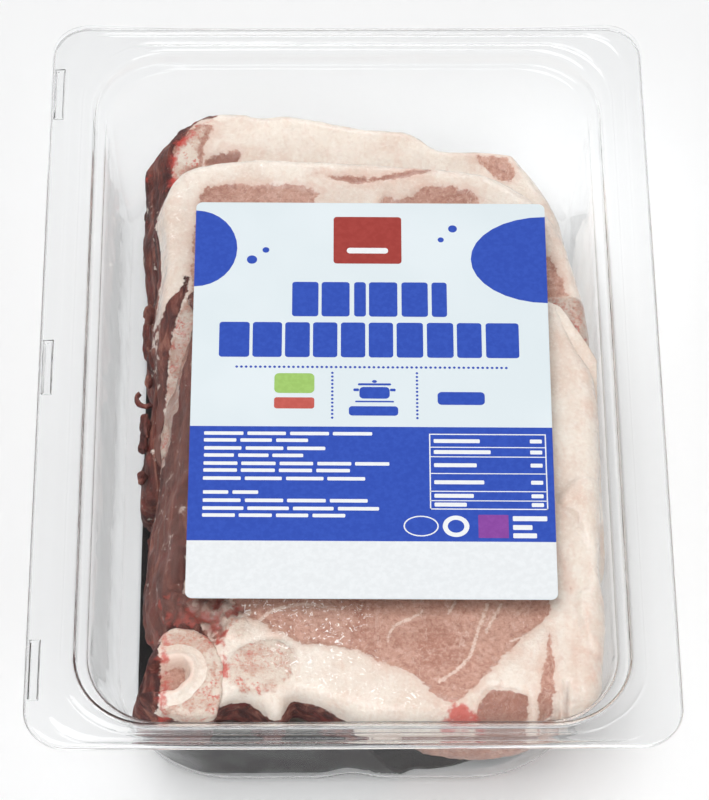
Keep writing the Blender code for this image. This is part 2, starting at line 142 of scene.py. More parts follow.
# Label and the thickness of its ink.
LABEL_SIZE = (102.3 * MM, 135.6 * MM)
LABEL_CENTRE = Vector((5.8, -11.4, 0.0)) * MM
LABEL_TURN = math.radians(-0.5)
LABEL_CORNER = 2.0 * MM
LABEL_GAUGE = 0.12 * MM
INK = 0.02 * MM

# Print on the label, in millimetres from its centre: starts and widths of blocks, and levels of lines.
TITLE_UPPER = ((-22.7, 7.6), (-14.2, 8.1), (-4.8, 3.4), (-0.5, 8.2), (8.9, 7.6), (17.6, 4.4))
TITLE_LOWER = (
    (-43.5, 8.7), (-33.9, 8.4), (-24.6, 7.1), (-16.6, 7.0), (-8.6, 7.0),
    (-0.6, 7.0), (7.4, 7.6), (16.1, 7.6), (24.7, 7.1), (33.0, 9.5),
)
SMALL_LINES = (
    (-12.7, 0.8), (-15.0, -17.2), (-17.7, -12.4), (-20.1, -18.6), (-22.8, 5.6), (-25.1, -5.4),
    (-27.8, -1.2), (-32.4, -31.0), (-35.1, -0.4), (-37.7, 2.7), (-40.0, -6.7),
)
TABLE_RULES = (-18.0, -21.2, -26.8, -32.7, -35.8)
TABLE_ROWS = (-15.9, -19.6, -24.0, -29.7, -34.2, -37.1)
TABLE_WORDS = (13.0, 16.0, 12.0, 14.0, 11.0, 9.0)
COLOUR_FIELDS = (
    ("green", (160, 200, 104), (-21.8, 3.6), (11.4, 6.8), 1.4),
    ("coral", (197, 88, 78), (-21.8, -3.2), (11.4, 3.8), 0.8),
    ("violet", (137, 64, 160), (33.9, -44.2), (8.4, 7.6), 0.2, 2),
)

# Pad: how far its front left edge is drawn out and over which depth, its quilting and its thickness.
PAD_SPARE = 24.0 * MM
PAD_GATHER = 14.0 * MM
PAD_BEND = BASE_BEND - 1.2 * MM
PAD_TURN = math.radians(84.0)
QUILT_SIZE = 7.0 * MM
QUILT_DEPTH = 0.35 * MM
PAD_GAUGE = 1.2 * MM

# Chops: levels, clearances, and outlines over the plan in millimetres.
WALL_CLEAR = 0.25 * MM
SKIN = 0.9 * MM
FINE_SKIN = 0.85 * MM
BONE_SKIN = 0.6 * MM
TIER_GAP = 0.8 * MM
SCARF_RISE = 15.5 * MM
SCARF_START = -15.0 * MM
SCARF_END = 29.0 * MM
FRONT_TOP = 44.2 * MM
MIDDLE_TOP = 42.6 * MM
REAR_TOP = 24.8 * MM
REAR_LIFT = 3.8 * MM
LOWER_TOP = 25.2 * MM
BONE_FILLET = 1.5 * MM

# Thickness of the blanks that are shaped into chops, and how far out and below the top the left side ends.
FRONT_BLANK = 18.0 * MM
MIDDLE_BLANK = 15.0 * MM
REAR_BLANK = 20.0 * MM
LOWER_BLANK = 18.0 * MM
FRONT_FOOT = (8.2 * MM, 16.5 * MM)
MIDDLE_FOOT = (4.0 * MM, 14.0 * MM)
REAR_FOOT = (6.6 * MM, 11.0 * MM)
LOWER_FOOT = (1.0 * MM, 14.0 * MM)
BONE_FOOT = (3.0 * MM, 15.0 * MM)

FRONT_EDGE = (
    (-42.5, 30.5), (-44, 19), (-46, -9), (-47.5, -32.5), (-50, -56), (-50.5, -72), (-48.5, -80),
    (-45, -87), (-40, -94), (-36.5, -103), (-35.5, -107.5), (-29.5, -105), (-24.5, -107.5),
    (-22, -111), (-19, -110), (-16.5, -104.5), (-11.5, -106), (-2.5, -109.5), (5, -112), (25, -112.3),
    (45, -112.3), (50, -112), (52.5, -109), (55, -108), (56.5, -110.6), (59.5, -110.5), (60.5, -108.5),
    (64, -108), (67.5, -104.5), (69.5, -88.5), (70, -76), (69, -63), (70, -45), (71, -15),
    (70.5, -5), (69.5, 3), (66, 9), (62.5, 16.5), (60.5, 21.5), (57, 26), (40, 30.5), (0, 31),
)
LOIN = (
    (-34, -73), (-32, -80), (-25, -83), (-18.5, -87), (-14.5, -89.5), (-6, -90.5), (3.5, -93.5),
    (10.5, -97), (17, -101), (23.5, -107), (27.5, -108), (31.5, -105.5), (35, -101.5), (40, -95.5),
    (46, -89), (53, -82), (55, -76.5), (54, -60), (50, -30), (30, -10), (0, -5), (-30, -20), (-36, -50),
)
DARK_LUMP = (
    (33.5, -113), (34.5, -108), (37.5, -104.5), (44, -105), (47, -106), (47.5, -109.5), (45.5, -113.5),
)
THIN_STRIP = ((50, -113), (51, -105), (53, -94), (53.8, -86), (54.7, -92.5), (54.6, -105), (54, -113))
RIGHT_SEAM = ((57, -113), (57.2, -108), (57.8, -101.5), (58.6, -105), (58.8, -113))
BLOOD_SPOT = ((24.5, -113), (26, -109.5), (27, -108), (31.5, -109), (35.5, -113))
SPONGY_BONE = (
    (-34.5, -99), (-33, -93.5), (-29.5, -90.5), (-25, -89), (-20, -89), (-16.5, -92),
    (-15.5, -96.5), (-17.5, -101.5), (-22.5, -104.5), (-28, -104.5), (-32, -103),
)
BONE_CAP = ((-42, -76), (-36.5, -75.5), (-31, -77.5), (-28, -85.5), (-31, -89), (-35, -86.5), (-38.5, -81))
SECOND_LOBE = (
    (58.5, -43), (62.5, -49.5), (66, -58), (66.5, -66), (65, -72.5), (61.5, -76),
    (66, -92), (80, -90), (80, -45), (66, -36),
)
BLOOD_STREAK = (0.9, (-47.5, -80), (-42, -76), (-37.5, -85.5), (-35.5, -92), (-35, -99))
TORN_MEAT = (
    (-54, -72), (-46, -70), (-36, -72), (-30, -75), (-28, -80), (-33, -84), (-36, -90), (-36, -99),
    (-39, -96), (-42, -88), (-50, -84), (-56, -84),
)
# Areas of painted glints: pale specks that stand in for highlights on the wet lean, the middle chop's rim and
# the front band.
PAINTED_GLINT_LEAN = ((-32, -76), (-6, -74), (6, -78), (2, -88), (8, -95), (4, -100), (-8, -96), (-14, -90), (-28, -84))
PAINTED_GLINT_RIM = ((-52, 72), (-44, 77), (-20, 80), (-20, 75), (-40, 73), (-48, 62), (-50, 40), (-54, 40))
PAINTED_GLINT_BAND = (
    (-30, -84), (-18, -90), (-4, -96), (10, -102), (22, -108), (10, -110), (-6, -106), (-18, -100),
    (-26, -94),
)
VEINS = (
    (0.35, (37.5, -76.5), (36, -81), (34.5, -85), (33, -90.5), (31.5, -94.5), (28, -98), (23.5, -101.5)),
    (0.3, (41, -77), (39, -81), (36.5, -86)),
    (0.3, (28.5, -76.5), (26.5, -80)),
    (0.3, (19.5, -79), (16.5, -81.5), (11.5, -84), (9.5, -89)),
    (0.3, (55, -82.5), (48.5, -86.5), (43, -89)),
    (0.35, (-27, -84), (-22, -79), (-12, -77), (-4, -79)),
)
VERTEBRA = (
    (-54.5, -108), (-57.5, -104.5), (-55.5, -95), (-53, -88.5), (-51, -85.5), (-47.5, -84.5),
    (-42, -85.5), (-37.5, -89.5), (-35.5, -95), (-35, -101.5), (-36, -109), (-38, -112), (-47, -112),
)
CANAL = (
    (-60, -97), (-50.5, -95.5), (-47, -95), (-45, -96.5), (-45, -100), (-47, -102.5), (-49.5, -104.5),
    (-60, -104),
)
MIDDLE_EDGE = (
    (-56, -14), (-55.4, -6), (-54.8, 8), (-54.6, 20), (-54, 30), (-52.8, 41), (-53.4, 52), (-54.1, 64),
    (-50.5, 74), (-44, 78.5), (-32, 81),
    (-14.5, 81), (0.5, 80), (15.5, 79), (27.5, 78), (39.5, 76.5), (48.5, 72.5), (57, 65), (62.5, 54),
    (66, 41), (69, 26.5), (70.5, 12.5), (69.5, 1), (60, 2), (30, 2), (-30, 2), (-44, 1), (-52, -22),
)
MEAT_STREAK = (
    (-9, 74.5), (-1, 73.5), (9.5, 73.5), (18.5, 76), (24, 77), (24.5, 75), (15.5, 73), (6.5, 70.8),
    (-2.5, 71.5), (-7.5, 73.2),
)
LEAN_LEFT = (
    (-46, 41.5), (-45, 58), (-44, 65), (-39.5, 70), (-29, 70.5), (-14.5, 70), (-8, 67), (-10, 64.5),
    (-5.5, 61.5), (0, 50), (0, 20), (-40, 15),
)
LEAN_RIGHT = (
    (9.5, 63), (15.5, 64.5), (23, 69), (30.5, 69.5), (36.5, 67), (39, 63), (44.5, 52), (40, 20), (10, 20),
)
LEAN_WEDGE = (
    (54, 46), (59, 44), (62.5, 36), (65.5, 22), (67.5, 8), (66, 2), (62, 8), (56, 14), (50, 22), (48, 36),
)
REAR_EDGE = (
    (-52.4, 28), (-53.2, 46), (-54.4, 61), (-54.9, 78.5), (-55, 88), (-54.4, 94), (-51.5, 99), (-46.5, 105),
    (-40.5, 109), (-32.5, 109.5), (-26, 108), (-17.5, 108.5), (-5, 106), (7, 103.5), (19.5, 101.5),
    (28.5, 96), (40.5, 96.5), (50, 96), (54, 91.5), (60, 82), (64, 70.5), (65.5, 59.5), (66.5, 44.5),
    (66, 28), (30, 26.5), (-30, 26.5),
)
SMALL_MEAT = ((39, 93), (42, 93.5), (46.5, 93.5), (49.5, 92.5), (50.5, 88), (50, 84), (45, 86.5), (41, 89.5))
CHINE_CORNER = (
    (-54, 94), (-50.5, 99), (-45, 103.5), (-41, 102), (-43.5, 95.5), (-44.5, 90), (-49.5, 84),
    (-52, 74.5), (-55, 76), (-56, 86),
)
DARK_MEAT = ((-43, 90), (-40, 93), (-32.5, 93.5), (-34, 90), (-38, 88))
REAR_LEAN = ((-40, 70), (0, 78), (40, 70), (50, 40), (-40, 40))
LOWER_EDGE = (
    (-57.2, 24), (-56.8, 10), (-57.4, 0), (-58.4, -10), (-59.2, -21), (-59, -30), (-54.5, -32.5),
    (-54.5, -36.5), (-56.6, -38.5), (-56.8, -50), (-56.4, -60), (-55.5, -66.5), (-52.5, -75), (-50, -86),
    (-42, -93), (-20, -95), (8, -96), (20, -104), (38, -106.5), (53, -102),
    (63, -86), (67, -60), (68, -20), (67, 24), (20, 24.5), (-30, 24.5),
)
LOWER_LEAN = (
    (-45, 10), (40, 12), (50, -20), (56, -80), (58, -96), (42, -109), (18, -109), (6, -97), (-30, -84),
    (-45, -40),
)
PINK_LINES = (
    (0.6, (61.5, -78), (61.0, -92), (60.8, -104)),
    (0.5, (64.6, -80), (64.2, -94), (63.4, -106)),
    (0.5, (67.2, -82), (66.8, -98)),
    (0.7, (57.0, -60), (60.5, -72), (59.0, -84)),
)
SCRAPS = (
    (-59.0, 33.5, 26.0, 1.6, 3.6), (-58.6, 9.5, 26.5, 1.3, 2.6), (-59.4, -6.0, 26.0, 1.7, 4.6),
    (-59.8, -12.0, 25.5, 1.5, 3.0), (-60.2, -22.5, 24.0, 1.4, 2.0), (-56.5, -46.0, 25.0, 1.3, 3.0),
)
HOOK_CENTRE = Vector((-59.4, 3.4, 26.2)) * MM
HOOK_RADIUS = 2.6 * MM
HOOK_THREAD = 0.75 * MM


def swatch(red, green, blue):
    """Linear colour of a swatch given in the usual 0 to 255 values."""
    linear = []
    for value in (red, green, blue):
        share = value / 255
        linear.append(share / 12.92 if share <= 0.04045 else ((share + 0.055) / 1.055) ** 2.4)
    return (*linear, 1.0)


# Modelling by hand.


def deselect():
    if bpy.context.object and bpy.context.object.mode != "OBJECT":
        bpy.ops.object.mode_set(mode="OBJECT")
    bpy.ops.object.select_all(action="DESELECT")


def take(piece):
    """Makes this piece the only selected one."""
    deselect()
    piece.select_set(True)
    bpy.context.view_layer.objects.active = piece


def edit(piece, domain="VERT"):
    take(piece)
    bpy.ops.object.mode_set(mode="EDIT")
    bpy.ops.mesh.select_mode(type=domain)
    bpy.ops.mesh.select_all(action="SELECT")


def leave():
    bpy.ops.object.mode_set(mode="OBJECT")


def settle(piece):
    """Puts the object's place and size into its mesh."""
    take(piece)
    bpy.ops.object.transform_apply(location=True, rotation=True, scale=True)


def join(pieces, name):
    deselect()
    for piece in pieces:
        piece.select_set(True)
    bpy.context.view_layer.objects.active = pieces[0]
    if len(pieces) > 1:
        bpy.ops.object.join()
    joined = bpy.context.object
    joined.name = name
    joined.data.name = name
    return joined


def apply(piece, kind, **settings):
    take(piece)
    modifier = piece.modifiers.new(kind.lower(), kind)
    for key, value in settings.items():
        setattr(modifier, key, value)
    bpy.ops.object.modifier_apply(modifier=modifier.name)


def smooth_shade(piece, angle=math.radians(40)):
    take(piece)
    bpy.ops.object.shade_smooth_by_angle(angle=angle)


def coords(piece):
    flat = np.empty(len(piece.data.vertices) * 3)
    piece.data.vertices.foreach_get("co", flat)
    return flat.reshape(-1, 3)


def set_coords(piece, places):
    piece.data.vertices.foreach_set("co", np.asarray(places, dtype=np.float64).ravel())
    piece.data.update()


def rounded_sheet(name, half, corner, centre, level, segments=CORNER_SEGMENTS):
    """A flat rounded rectangle: a plane whose corners are bevelled in edit mode."""
    bpy.ops.mesh.primitive_plane_add(size=2.0, location=(centre[0], centre[1], level))
    sheet = bpy.context.object
    sheet.name = name
    sheet.scale = (half[0], half[1], 1.0)
    settle(sheet)
    if corner > 0:
        edit(sheet)
        bpy.ops.mesh.bevel(offset=corner, segments=segments, affect="VERTICES")
        leave()
    return sheet


def cut_rows(piece, axis, places):
    """Cuts the whole mesh across at each place along this axis."""
    normal = [0.0, 0.0, 0.0]
    normal[axis] = 1.0
    for place in places:
        point = [0.0, 0.0, 0.0]
        point[axis] = place
        edit(piece)
        bpy.ops.mesh.bisect(plane_co=point, plane_no=normal)
        leave()


# Fields over the plan.


def ease(start, end, value):
    t = np.clip((value - start) / (end - start), 0.0, 1.0)
    return t * t * (3.0 - 2.0 * t)


def curve_points(points, closed, steps=7):
    """A smooth curve through plan points given in millimetres."""
    points = [np.array(point, dtype=float) * MM for point in points]
    count = len(points)
    spans = count if closed else count - 1
    curve = []
    for i in range(spans):
        before = points[i - 1] if closed or i > 0 else points[0]
        here = points[i]
        after = points[(i + 1) % count]
        beyond = points[(i + 2) % count] if closed or i + 2 < count else points[-1]
        for step in range(steps):
            t = step / steps
            curve.append(
                0.5
                * (
                    2.0 * here
                    + (after - before) * t
                    + (2.0 * before - 5.0 * here + 4.0 * after - beyond) * t**2
                    + (3.0 * here - before - 3.0 * after + beyond) * t**3
                )
            )
    if not closed:
        curve.append(points[-1])
    return np.array(curve)


def path_distance(places, curve, closed):
    """Distance of each place from the curve."""
    ends = np.roll(curve, -1, axis=0) if closed else curve[1:]
    starts = curve if closed else curve[:-1]
    nearest = np.full(len(places), 1.0)
    for start, end in zip(starts, ends):
        run = end - start
        along = np.clip(((places - start) @ run) / max(run @ run, 1e-12), 0.0, 1.0)
        away = np.hypot(*(places - start - along[:, None] * run).T)
        nearest = np.minimum(nearest, away)
    return nearest


def depth_inside(places, curve):
    """Distance in from a closed curve's edge, below zero outside it."""
    inside = np.zeros(len(places), dtype=bool)
    x, y = places.T
    for start, end in zip(curve, np.roll(curve, -1, axis=0)):
        spans = (start[1] > y) != (end[1] > y)
        slope = (end[0] - start[0]) / ((end[1] - start[1]) or 1e-12)
        inside ^= spans & (x < start[0] + (y - start[1]) * slope)
    return np.where(inside, 1.0, -1.0) * path_distance(places, curve, True)


def grain(places, size, seed=0.0, octaves=2):
    """Fractal noise about -1 to 1, with features of this size."""
    offset = Vector((seed * 7.3, seed * 3.1, seed * 5.7))
    found = [noise.fractal(Vector(place) / size + offset, 1.0, 2.0, octaves) for place in places]
    return np.array(found)


def store(piece, name, values):
    layer = piece.data.attributes.new(name, "FLOAT", "POINT")
    layer.data.foreach_set("value", np.asarray(values, dtype=np.float32))


def normals(piece):
    flat = np.empty(len(piece.data.vertices) * 3)
    piece.data.vertex_normals.foreach_get("vector", flat)
    return flat.reshape(-1, 3)


# Materials.


def own_place(tree):
    return put(tree, "ShaderNodeTexCoord").outputs["Object"]


def new_group(name, label, value):
    """A node group with one number in, and a colour and a height out; also returns its own place."""
    tree = bpy.data.node_groups.new(name, "ShaderNodeTree")
    socket = tree.interface.new_socket(name=label, in_out="INPUT", socket_type="NodeSocketFloat")
    socket.default_value = value
    tree.interface.new_socket(name="Color", in_out="OUTPUT", socket_type="NodeSocketColor")
    tree.interface.new_socket(name="Height", in_out="OUTPUT", socket_type="NodeSocketFloat")
    return tree, tree.nodes.new("NodeGroupInput").outputs[0], own_place(tree)


def close_group(tree, colour, height):
    out = tree.nodes.new("NodeGroupOutput")
    tree.links.new(colour, out.inputs["Color"])
    tree.links.new(height, out.inputs["Height"])
    return tree


def put(tree, kind, links=(), **values):
    """Adds a node; values set its properties, and links feeds its inputs by name or number."""
    made = tree.nodes.new(kind)
    for key, value in values.items():
        setattr(made, key, value)
    for socket, source in dict(links).items():
        if isinstance(source, bpy.types.NodeSocket):
            tree.links.new(source, made.inputs[socket])
        else:
            made.inputs[socket].default_value = source
    return made


def mix(tree, share, first, second, way="MIX"):
    """Colour that goes from first to second."""
    made = put(tree, "ShaderNodeMix", {0: share, 6: first, 7: second}, data_type="RGBA", blend_type=way)
    return made.outputs[2]


def sums(tree, way, first, second=0.0, third=0.0):
    return put(tree, "ShaderNodeMath", {0: first, 1: second, 2: third}, operation=way).outputs[0]


def step(tree, value, low, high, start=0.0, end=1.0):
    """Smooth step of a value between low and high."""
    links = {"Value": value, "From Min": low, "From Max": high, "To Min": start, "To Max": end}
    return put(tree, "ShaderNodeMapRange", links, interpolation_type="SMOOTHSTEP").outputs[0]


def times(tree, first, second):
    return sums(tree, "MULTIPLY", first, second)


def plus(tree, first, second):
    return sums(tree, "ADD", first, second)


def stain(tree, base, value, low, high, most, tint):
    """Lays a tint over a colour where the value passes from low to high."""
    return mix(tree, step(tree, value, low, high, 0.0, most), base, swatch(*tint))


def blotches(tree, vector, per_metre, detail=3.0, rough=0.55, distort=0.0):
    links = {"Vector": vector, "Scale": per_metre, "Detail": detail}
    links.update({"Roughness": rough, "Distortion": distort})
    return put(tree, "ShaderNodeTexNoise", links).outputs["Fac"]


def new_material(name, slot_look):
    """A material and its Principled shader, with these constant values on the shader's sockets."""
    look = bpy.data.materials.new(name)
    look.use_nodes = True
    shader = look.node_tree.nodes["Principled BSDF"]
    for socket, value in slot_look.items():
        shader.inputs[socket].default_value = value
    return look, look.node_tree, shader


def bump(tree, shader, height, strength, distance):
    made = put(tree, "ShaderNodeBump", {"Height": height, "Strength": strength, "Distance": distance})
    tree.links.new(made.outputs[0], shader.inputs["Normal"])


def let_lamps_through(tree, shader, tint):
    """Rays from lamps pass the clear sheet straight."""
    clear = put(tree, "ShaderNodeBsdfTransparent", {"Color": tint})
    rays = put(tree, "ShaderNodeLightPath")
    both = put(tree, "ShaderNodeMixShader", {0: rays.outputs["Is Shadow Ray"]})
    tree.links.new(shader.outputs[0], both.inputs[1])
    tree.links.new(clear.outputs[0], both.inputs[2])
    tree.links.new(both.outputs[0], tree.nodes["Material Output"].inputs["Surface"])


def clear_plastic(name, tint, roughness, wave, wave_depth, index):
    """Clear sheet with an index of refraction below the ledge and one above it; the walls mirror less."""
    values = {"Base Color": tint, "Roughness": roughness, "Transmission Weight": 1.0}
    look, tree, shader = new_material(name, values)
    place = own_place(tree)
    height = put(tree, "ShaderNodeSeparateXYZ", {"Vector": place}).outputs["Z"]
    tree.links.new(step(tree, height, *INDEX_LEVELS, *index), shader.inputs["IOR"])
    film_lines = blotches(tree, place, wave, detail=2.0)
    bump(tree, shader, film_lines, 0.35, wave_depth)
    let_lamps_through(tree, shader, tint)
    return look


def fat_group():
    """Cream fat with pink mottling, faint streaks and a fine grain."""
    tree, given, place = new_group("fat_tissue", "Pink", 0.35)
    soft = step(tree, blotches(tree, place, 60.0, 3.0), 0.38, 0.68)
    base = mix(tree, soft, swatch(220, 208, 196), swatch(210, 191, 177))
    warm = step(tree, blotches(tree, place, 120.0, 4.0, 0.65, 1.0), 0.5, 0.72)
    base = mix(tree, times(tree, warm, given), base, swatch(204, 164, 146))
    drawn = put(tree, "ShaderNodeMapping", {"Vector": place, "Scale": (1.0, 0.3, 0.6)}).outputs[0]
    streak = step(tree, blotches(tree, drawn, 420.0, 3.0, 0.6, 0.6), 0.52, 0.75, 0.0, 0.4)
    base = mix(tree, streak, base, swatch(206, 174, 158))
    fine = blotches(tree, place, 1000.0, 3.0, 0.6)
    base = stain(tree, base, fine, 0.48, 0.72, 0.32, (234, 228, 220))
    base = stain(tree, base, fine, 0.46, 0.3, 0.28, (200, 173, 158))
    return close_group(tree, base, fine)


def lean_group():
    """Brownish pink muscle: grain, fine pale flecks, thin marbling and darker patches."""
    tree, given, place = new_group("lean_tissue", "Dark", 0.0)
    patch = step(tree, blotches(tree, place, 80.0, 4.0), 0.36, 0.66)
    base = mix(tree, patch, swatch(168, 120, 103), swatch(187, 144, 127))
    fibre = blotches(tree, place, 800.0, 4.0, 0.7, 0.4)
    base = stain(tree, base, fibre, 0.47, 0.7, 0.6, (206, 171, 156))
    base = stain(tree, base, fibre, 0.5, 0.32, 0.55, (138, 89, 75))
    grain_turn = {"Vector": place, "Scale": (0.8, 0.35, 1.0), "Rotation": (0.0, 0.0, 0.5)}
    drawn = put(tree, "ShaderNodeMapping", grain_turn)
    marbling = blotches(tree, drawn.outputs[0], 190.0, 4.0, 0.6, 1.4)
    thin = step(tree, sums(tree, "ABSOLUTE", sums(tree, "SUBTRACT", marbling, 0.56)), 0.012, 0.0, 0.0, 0.5)
    base = mix(tree, thin, base, swatch(214, 188, 174))
    fleck = step(tree, blotches(tree, place, 300.0, 4.0, 0.75, 1.2), 0.64, 0.72, 0.0, 0.6)
    base = mix(tree, fleck, base, swatch(218, 194, 181))
    base = mix(tree, given, base, swatch(130, 82, 69))
    return close_group(tree, base, fibre)


def bone_group():
    """Spongy bone: cream with fine pink pores and a few red ones."""
    tree, given, place = new_group("spongy_bone", "Red", 0.3)
    pores = blotches(tree, place, 1150.0, 3.0, 0.7)
    mottle = step(tree, blotches(tree, place, 210.0, 3.0, 0.6, 0.5), 0.36, 0.66)
    base = mix(tree, mottle, swatch(208, 194, 180), swatch(188, 155, 139))
    dots = times(tree, step(tree, pores, 0.5, 0.62), plus(tree, mottle, 0.25))
    base = mix(tree, times(tree, dots, 0.8), base, swatch(184, 126, 110))
    patches = step(tree, blotches(tree, place, 170.0, 4.0, 0.7), 0.52, 0.64)
    red = times(tree, patches, given)
    red = times(tree, red, step(tree, pores, 0.44, 0.56))
    base = mix(tree, red, base, swatch(190, 86, 74))
    return close_group(tree, base, plus(tree, mottle, pores))


def chine_group():
    """The dark, dried sawn side along the spine, streaked from front to rear."""
    tree, given, place = new_group("dark_side", "Pale", 0.3)
    drawn = put(tree, "ShaderNodeMapping", {"Vector": place, "Scale": (1.0, 0.18, 1.0)}).outputs[0]
    streak = blotches(tree, drawn, 300.0, 4.0, 0.65, 0.7)
    fine = blotches(tree, place, 900.0, 3.0, 0.65)
    base = mix(tree, step(tree, streak, 0.38, 0.6), swatch(56, 25, 22), swatch(106, 56, 47))
    base = stain(tree, base, fine, 0.44, 0.66, 0.5, (72, 34, 30))
    reds = step(tree, blotches(tree, place, 130.0, 4.0, 0.7), 0.52, 0.66, 0.0, 0.55)
    base = mix(tree, reds, base, swatch(112, 34, 29))
    pale = times(tree, step(tree, streak, 0.54, 0.68), given)
    base = mix(tree, pale, base, swatch(166, 116, 99))
    return close_group(tree, base, plus(tree, streak, times(tree, fine, 0.8)))


def use_group(tree, group, value):
    made = put(tree, "ShaderNodeGroup", node_tree=group)
    if isinstance(value, bpy.types.NodeSocket):
        tree.links.new(value, made.inputs[0])
    else:
        made.inputs[0].default_value = value
    return made.outputs["Color"], made.outputs["Height"]


def field(tree, name):
    return put(tree, "ShaderNodeAttribute", attribute_name=name, attribute_type="GEOMETRY").outputs["Fac"]


def raw_pork(groups):
    """Fat, lean, spongy bone, dark side and blood, each where its field on the mesh is above zero."""
    values = {
        "IOR": 1.38,
        "Subsurface Weight": 0.08,
        "Subsurface Radius": (1.0, 0.45, 0.3),
        "Subsurface Scale": 1.6 * MM,
        "Coat Roughness": 0.1,
        "Coat IOR": 1.38,
    }
    look, tree, shader = new_material("raw_pork", values)
    place = own_place(tree)

    def ragged(per_metre, reach):
        wander = sums(tree, "SUBTRACT", blotches(tree, place, per_metre, 3.0, 0.6), 0.5)
        return times(tree, wander, reach)

    coarse = plus(tree, ragged(170.0, 4.5), ragged(520.0, 2.6))
    fine = ragged(1100.0, 1.6)

    def share(name, wander, low, high, most=1.0):
        return step(tree, plus(tree, field(tree, name), wander), low, high, 0.0, most)

    fat, fat_height = use_group(tree, groups["fat"], 0.32)
    lean, lean_height = use_group(tree, groups["lean"], field(tree, "deep"))
    bone, bone_height = use_group(tree, groups["bone"], 0.8)
    side, side_height = use_group(tree, groups["side"], 0.5)
    lean_share = share("lean", coarse, -0.3, 0.4)
    bone_share = share("bone", coarse, -0.5, 0.6)
    side_share = share("side", coarse, -0.3, 0.4)
    blush = share("lean", times(tree, coarse, 1.6), -3.2, 0.2, 0.35)
    colour = mix(tree, blush, fat, swatch(198, 154, 136))
    colour = mix(tree, lean_share, colour, lean)
    colour = mix(tree, share("vein", fine, -0.35, 0.2, 0.75), colour, swatch(220, 198, 184))
    colour = mix(tree, bone_share, colour, bone)
    colour = mix(tree, side_share, colour, side)
    blood = share("blood", times(tree, coarse, 1.8), -0.6, 1.6, 0.85)
    colour = mix(tree, blood, colour, swatch(184, 64, 54))
    # Painted shade: the shade field mixes the colour toward a brown in creases, grooves and shaded strips and
    # sides; on the front chop's upper sawn side the same mix gives its tan colour.
    colour = mix(tree, field(tree, "shade"), colour, swatch(112, 76, 68))
    # Painted highlight: pale specks mixed into the colour over the glint areas stand in for glints on wet
    # meat.
    painted_highlight = step(tree, blotches(tree, place, 480.0, 4.0, 0.7, 1.6), 0.585, 0.63)
    painted_highlight = times(tree, painted_highlight, share("wet_gloss_and_painted_glint", coarse, -2.0, 3.0, 0.9))
    colour = mix(tree, painted_highlight, colour, swatch(252, 248, 244))
    tree.links.new(colour, shader.inputs["Base Color"])
    height = mix(tree, lean_share, fat_height, lean_height)
    height = mix(tree, bone_share, height, bone_height)
    height = mix(tree, side_share, height, side_height)
    bump(tree, shader, height, 0.7, 0.4 * MM)
    # Wetness noise for the real roughness and coat.
    wet_gloss_and_painted_glint = blotches(tree, place, 220.0, 4.0, 0.65)
    dull = times(tree, side_share, 0.3)
    tree.links.new(plus(tree, step(tree, wet_gloss_and_painted_glint, 0.3, 0.7, 0.26, 0.5), dull), shader.inputs["Roughness"])
    shine = step(tree, wet_gloss_and_painted_glint, 0.62, 0.42, 0.1, 0.85)
    bare = sums(tree, "SUBTRACT", 1.0, times(tree, side_share, 0.9))
    tree.links.new(times(tree, shine, bare), shader.inputs["Coat Weight"])
    return look


def label_paper():
    values = {"Roughness": 0.42, "IOR": 1.45}
    look, tree, shader = new_material("label_paper", values)
    place = own_place(tree)
    tone = step(tree, blotches(tree, place, 30.0, 2.0), 0.35, 0.7)
    fibre = blotches(tree, place, 1500.0, 3.0)
    base = mix(tree, tone, swatch(228, 238, 242), swatch(233, 242, 246))
    tree.links.new(base, shader.inputs["Base Color"])
    bump(tree, shader, fibre, 0.08, 0.05 * MM)
    return look


def ink(name, tint, change=8):
    """Printed ink: a field of colour with a faint unevenness."""
    look, tree, shader = new_material(name, {"Roughness": 0.38, "IOR": 1.45})
    place = own_place(tree)
    uneven = step(tree, blotches(tree, place, 700.0, 3.0), 0.35, 0.7)
    lighter = tuple(min(value + change, 255) for value in tint)
    tree.links.new(mix(tree, uneven, swatch(*tint), swatch(*lighter)), shader.inputs["Base Color"])
    bump(tree, shader, uneven, 0.05, 0.03 * MM)
    return look


def pad_cloth():
    look, tree, shader = new_material("pad_cloth", {"IOR": 1.3})
    place = own_place(tree)
    damp = step(tree, blotches(tree, place, 60.0, 3.0), 0.4, 0.65)
    weave = blotches(tree, place, 1300.0, 3.0, 0.6)
    base = mix(tree, damp, swatch(20, 17, 17), swatch(32, 27, 27))
    base = stain(tree, base, weave, 0.5, 0.8, 0.25, (60, 52, 50))
    tree.links.new(base, shader.inputs["Base Color"])
    tree.links.new(step(tree, damp, 0.0, 1.0, 0.4, 0.75), shader.inputs["Roughness"])
    bump(tree, shader, weave, 0.5, 0.25 * MM)
    return look


def floor_card():
    look, tree, shader = new_material("floor_card", {"Roughness": 0.6})
    place = own_place(tree)
    speck = blotches(tree, place, 8.0, 2.0)
    white = mix(tree, speck, swatch(250, 250, 250), swatch(252, 252, 252))
    tree.links.new(white, shader.inputs["Base Color"])
    return look


# Tray, film and label.


def channel(x):
    """Height of the arched channel under the middle of the base."""
    share = np.clip(np.abs(x) / CHANNEL_HALF, 0.0, 1.0)
    return CHANNEL_RISE * 0.5 * (1.0 + np.cos(math.pi * share))


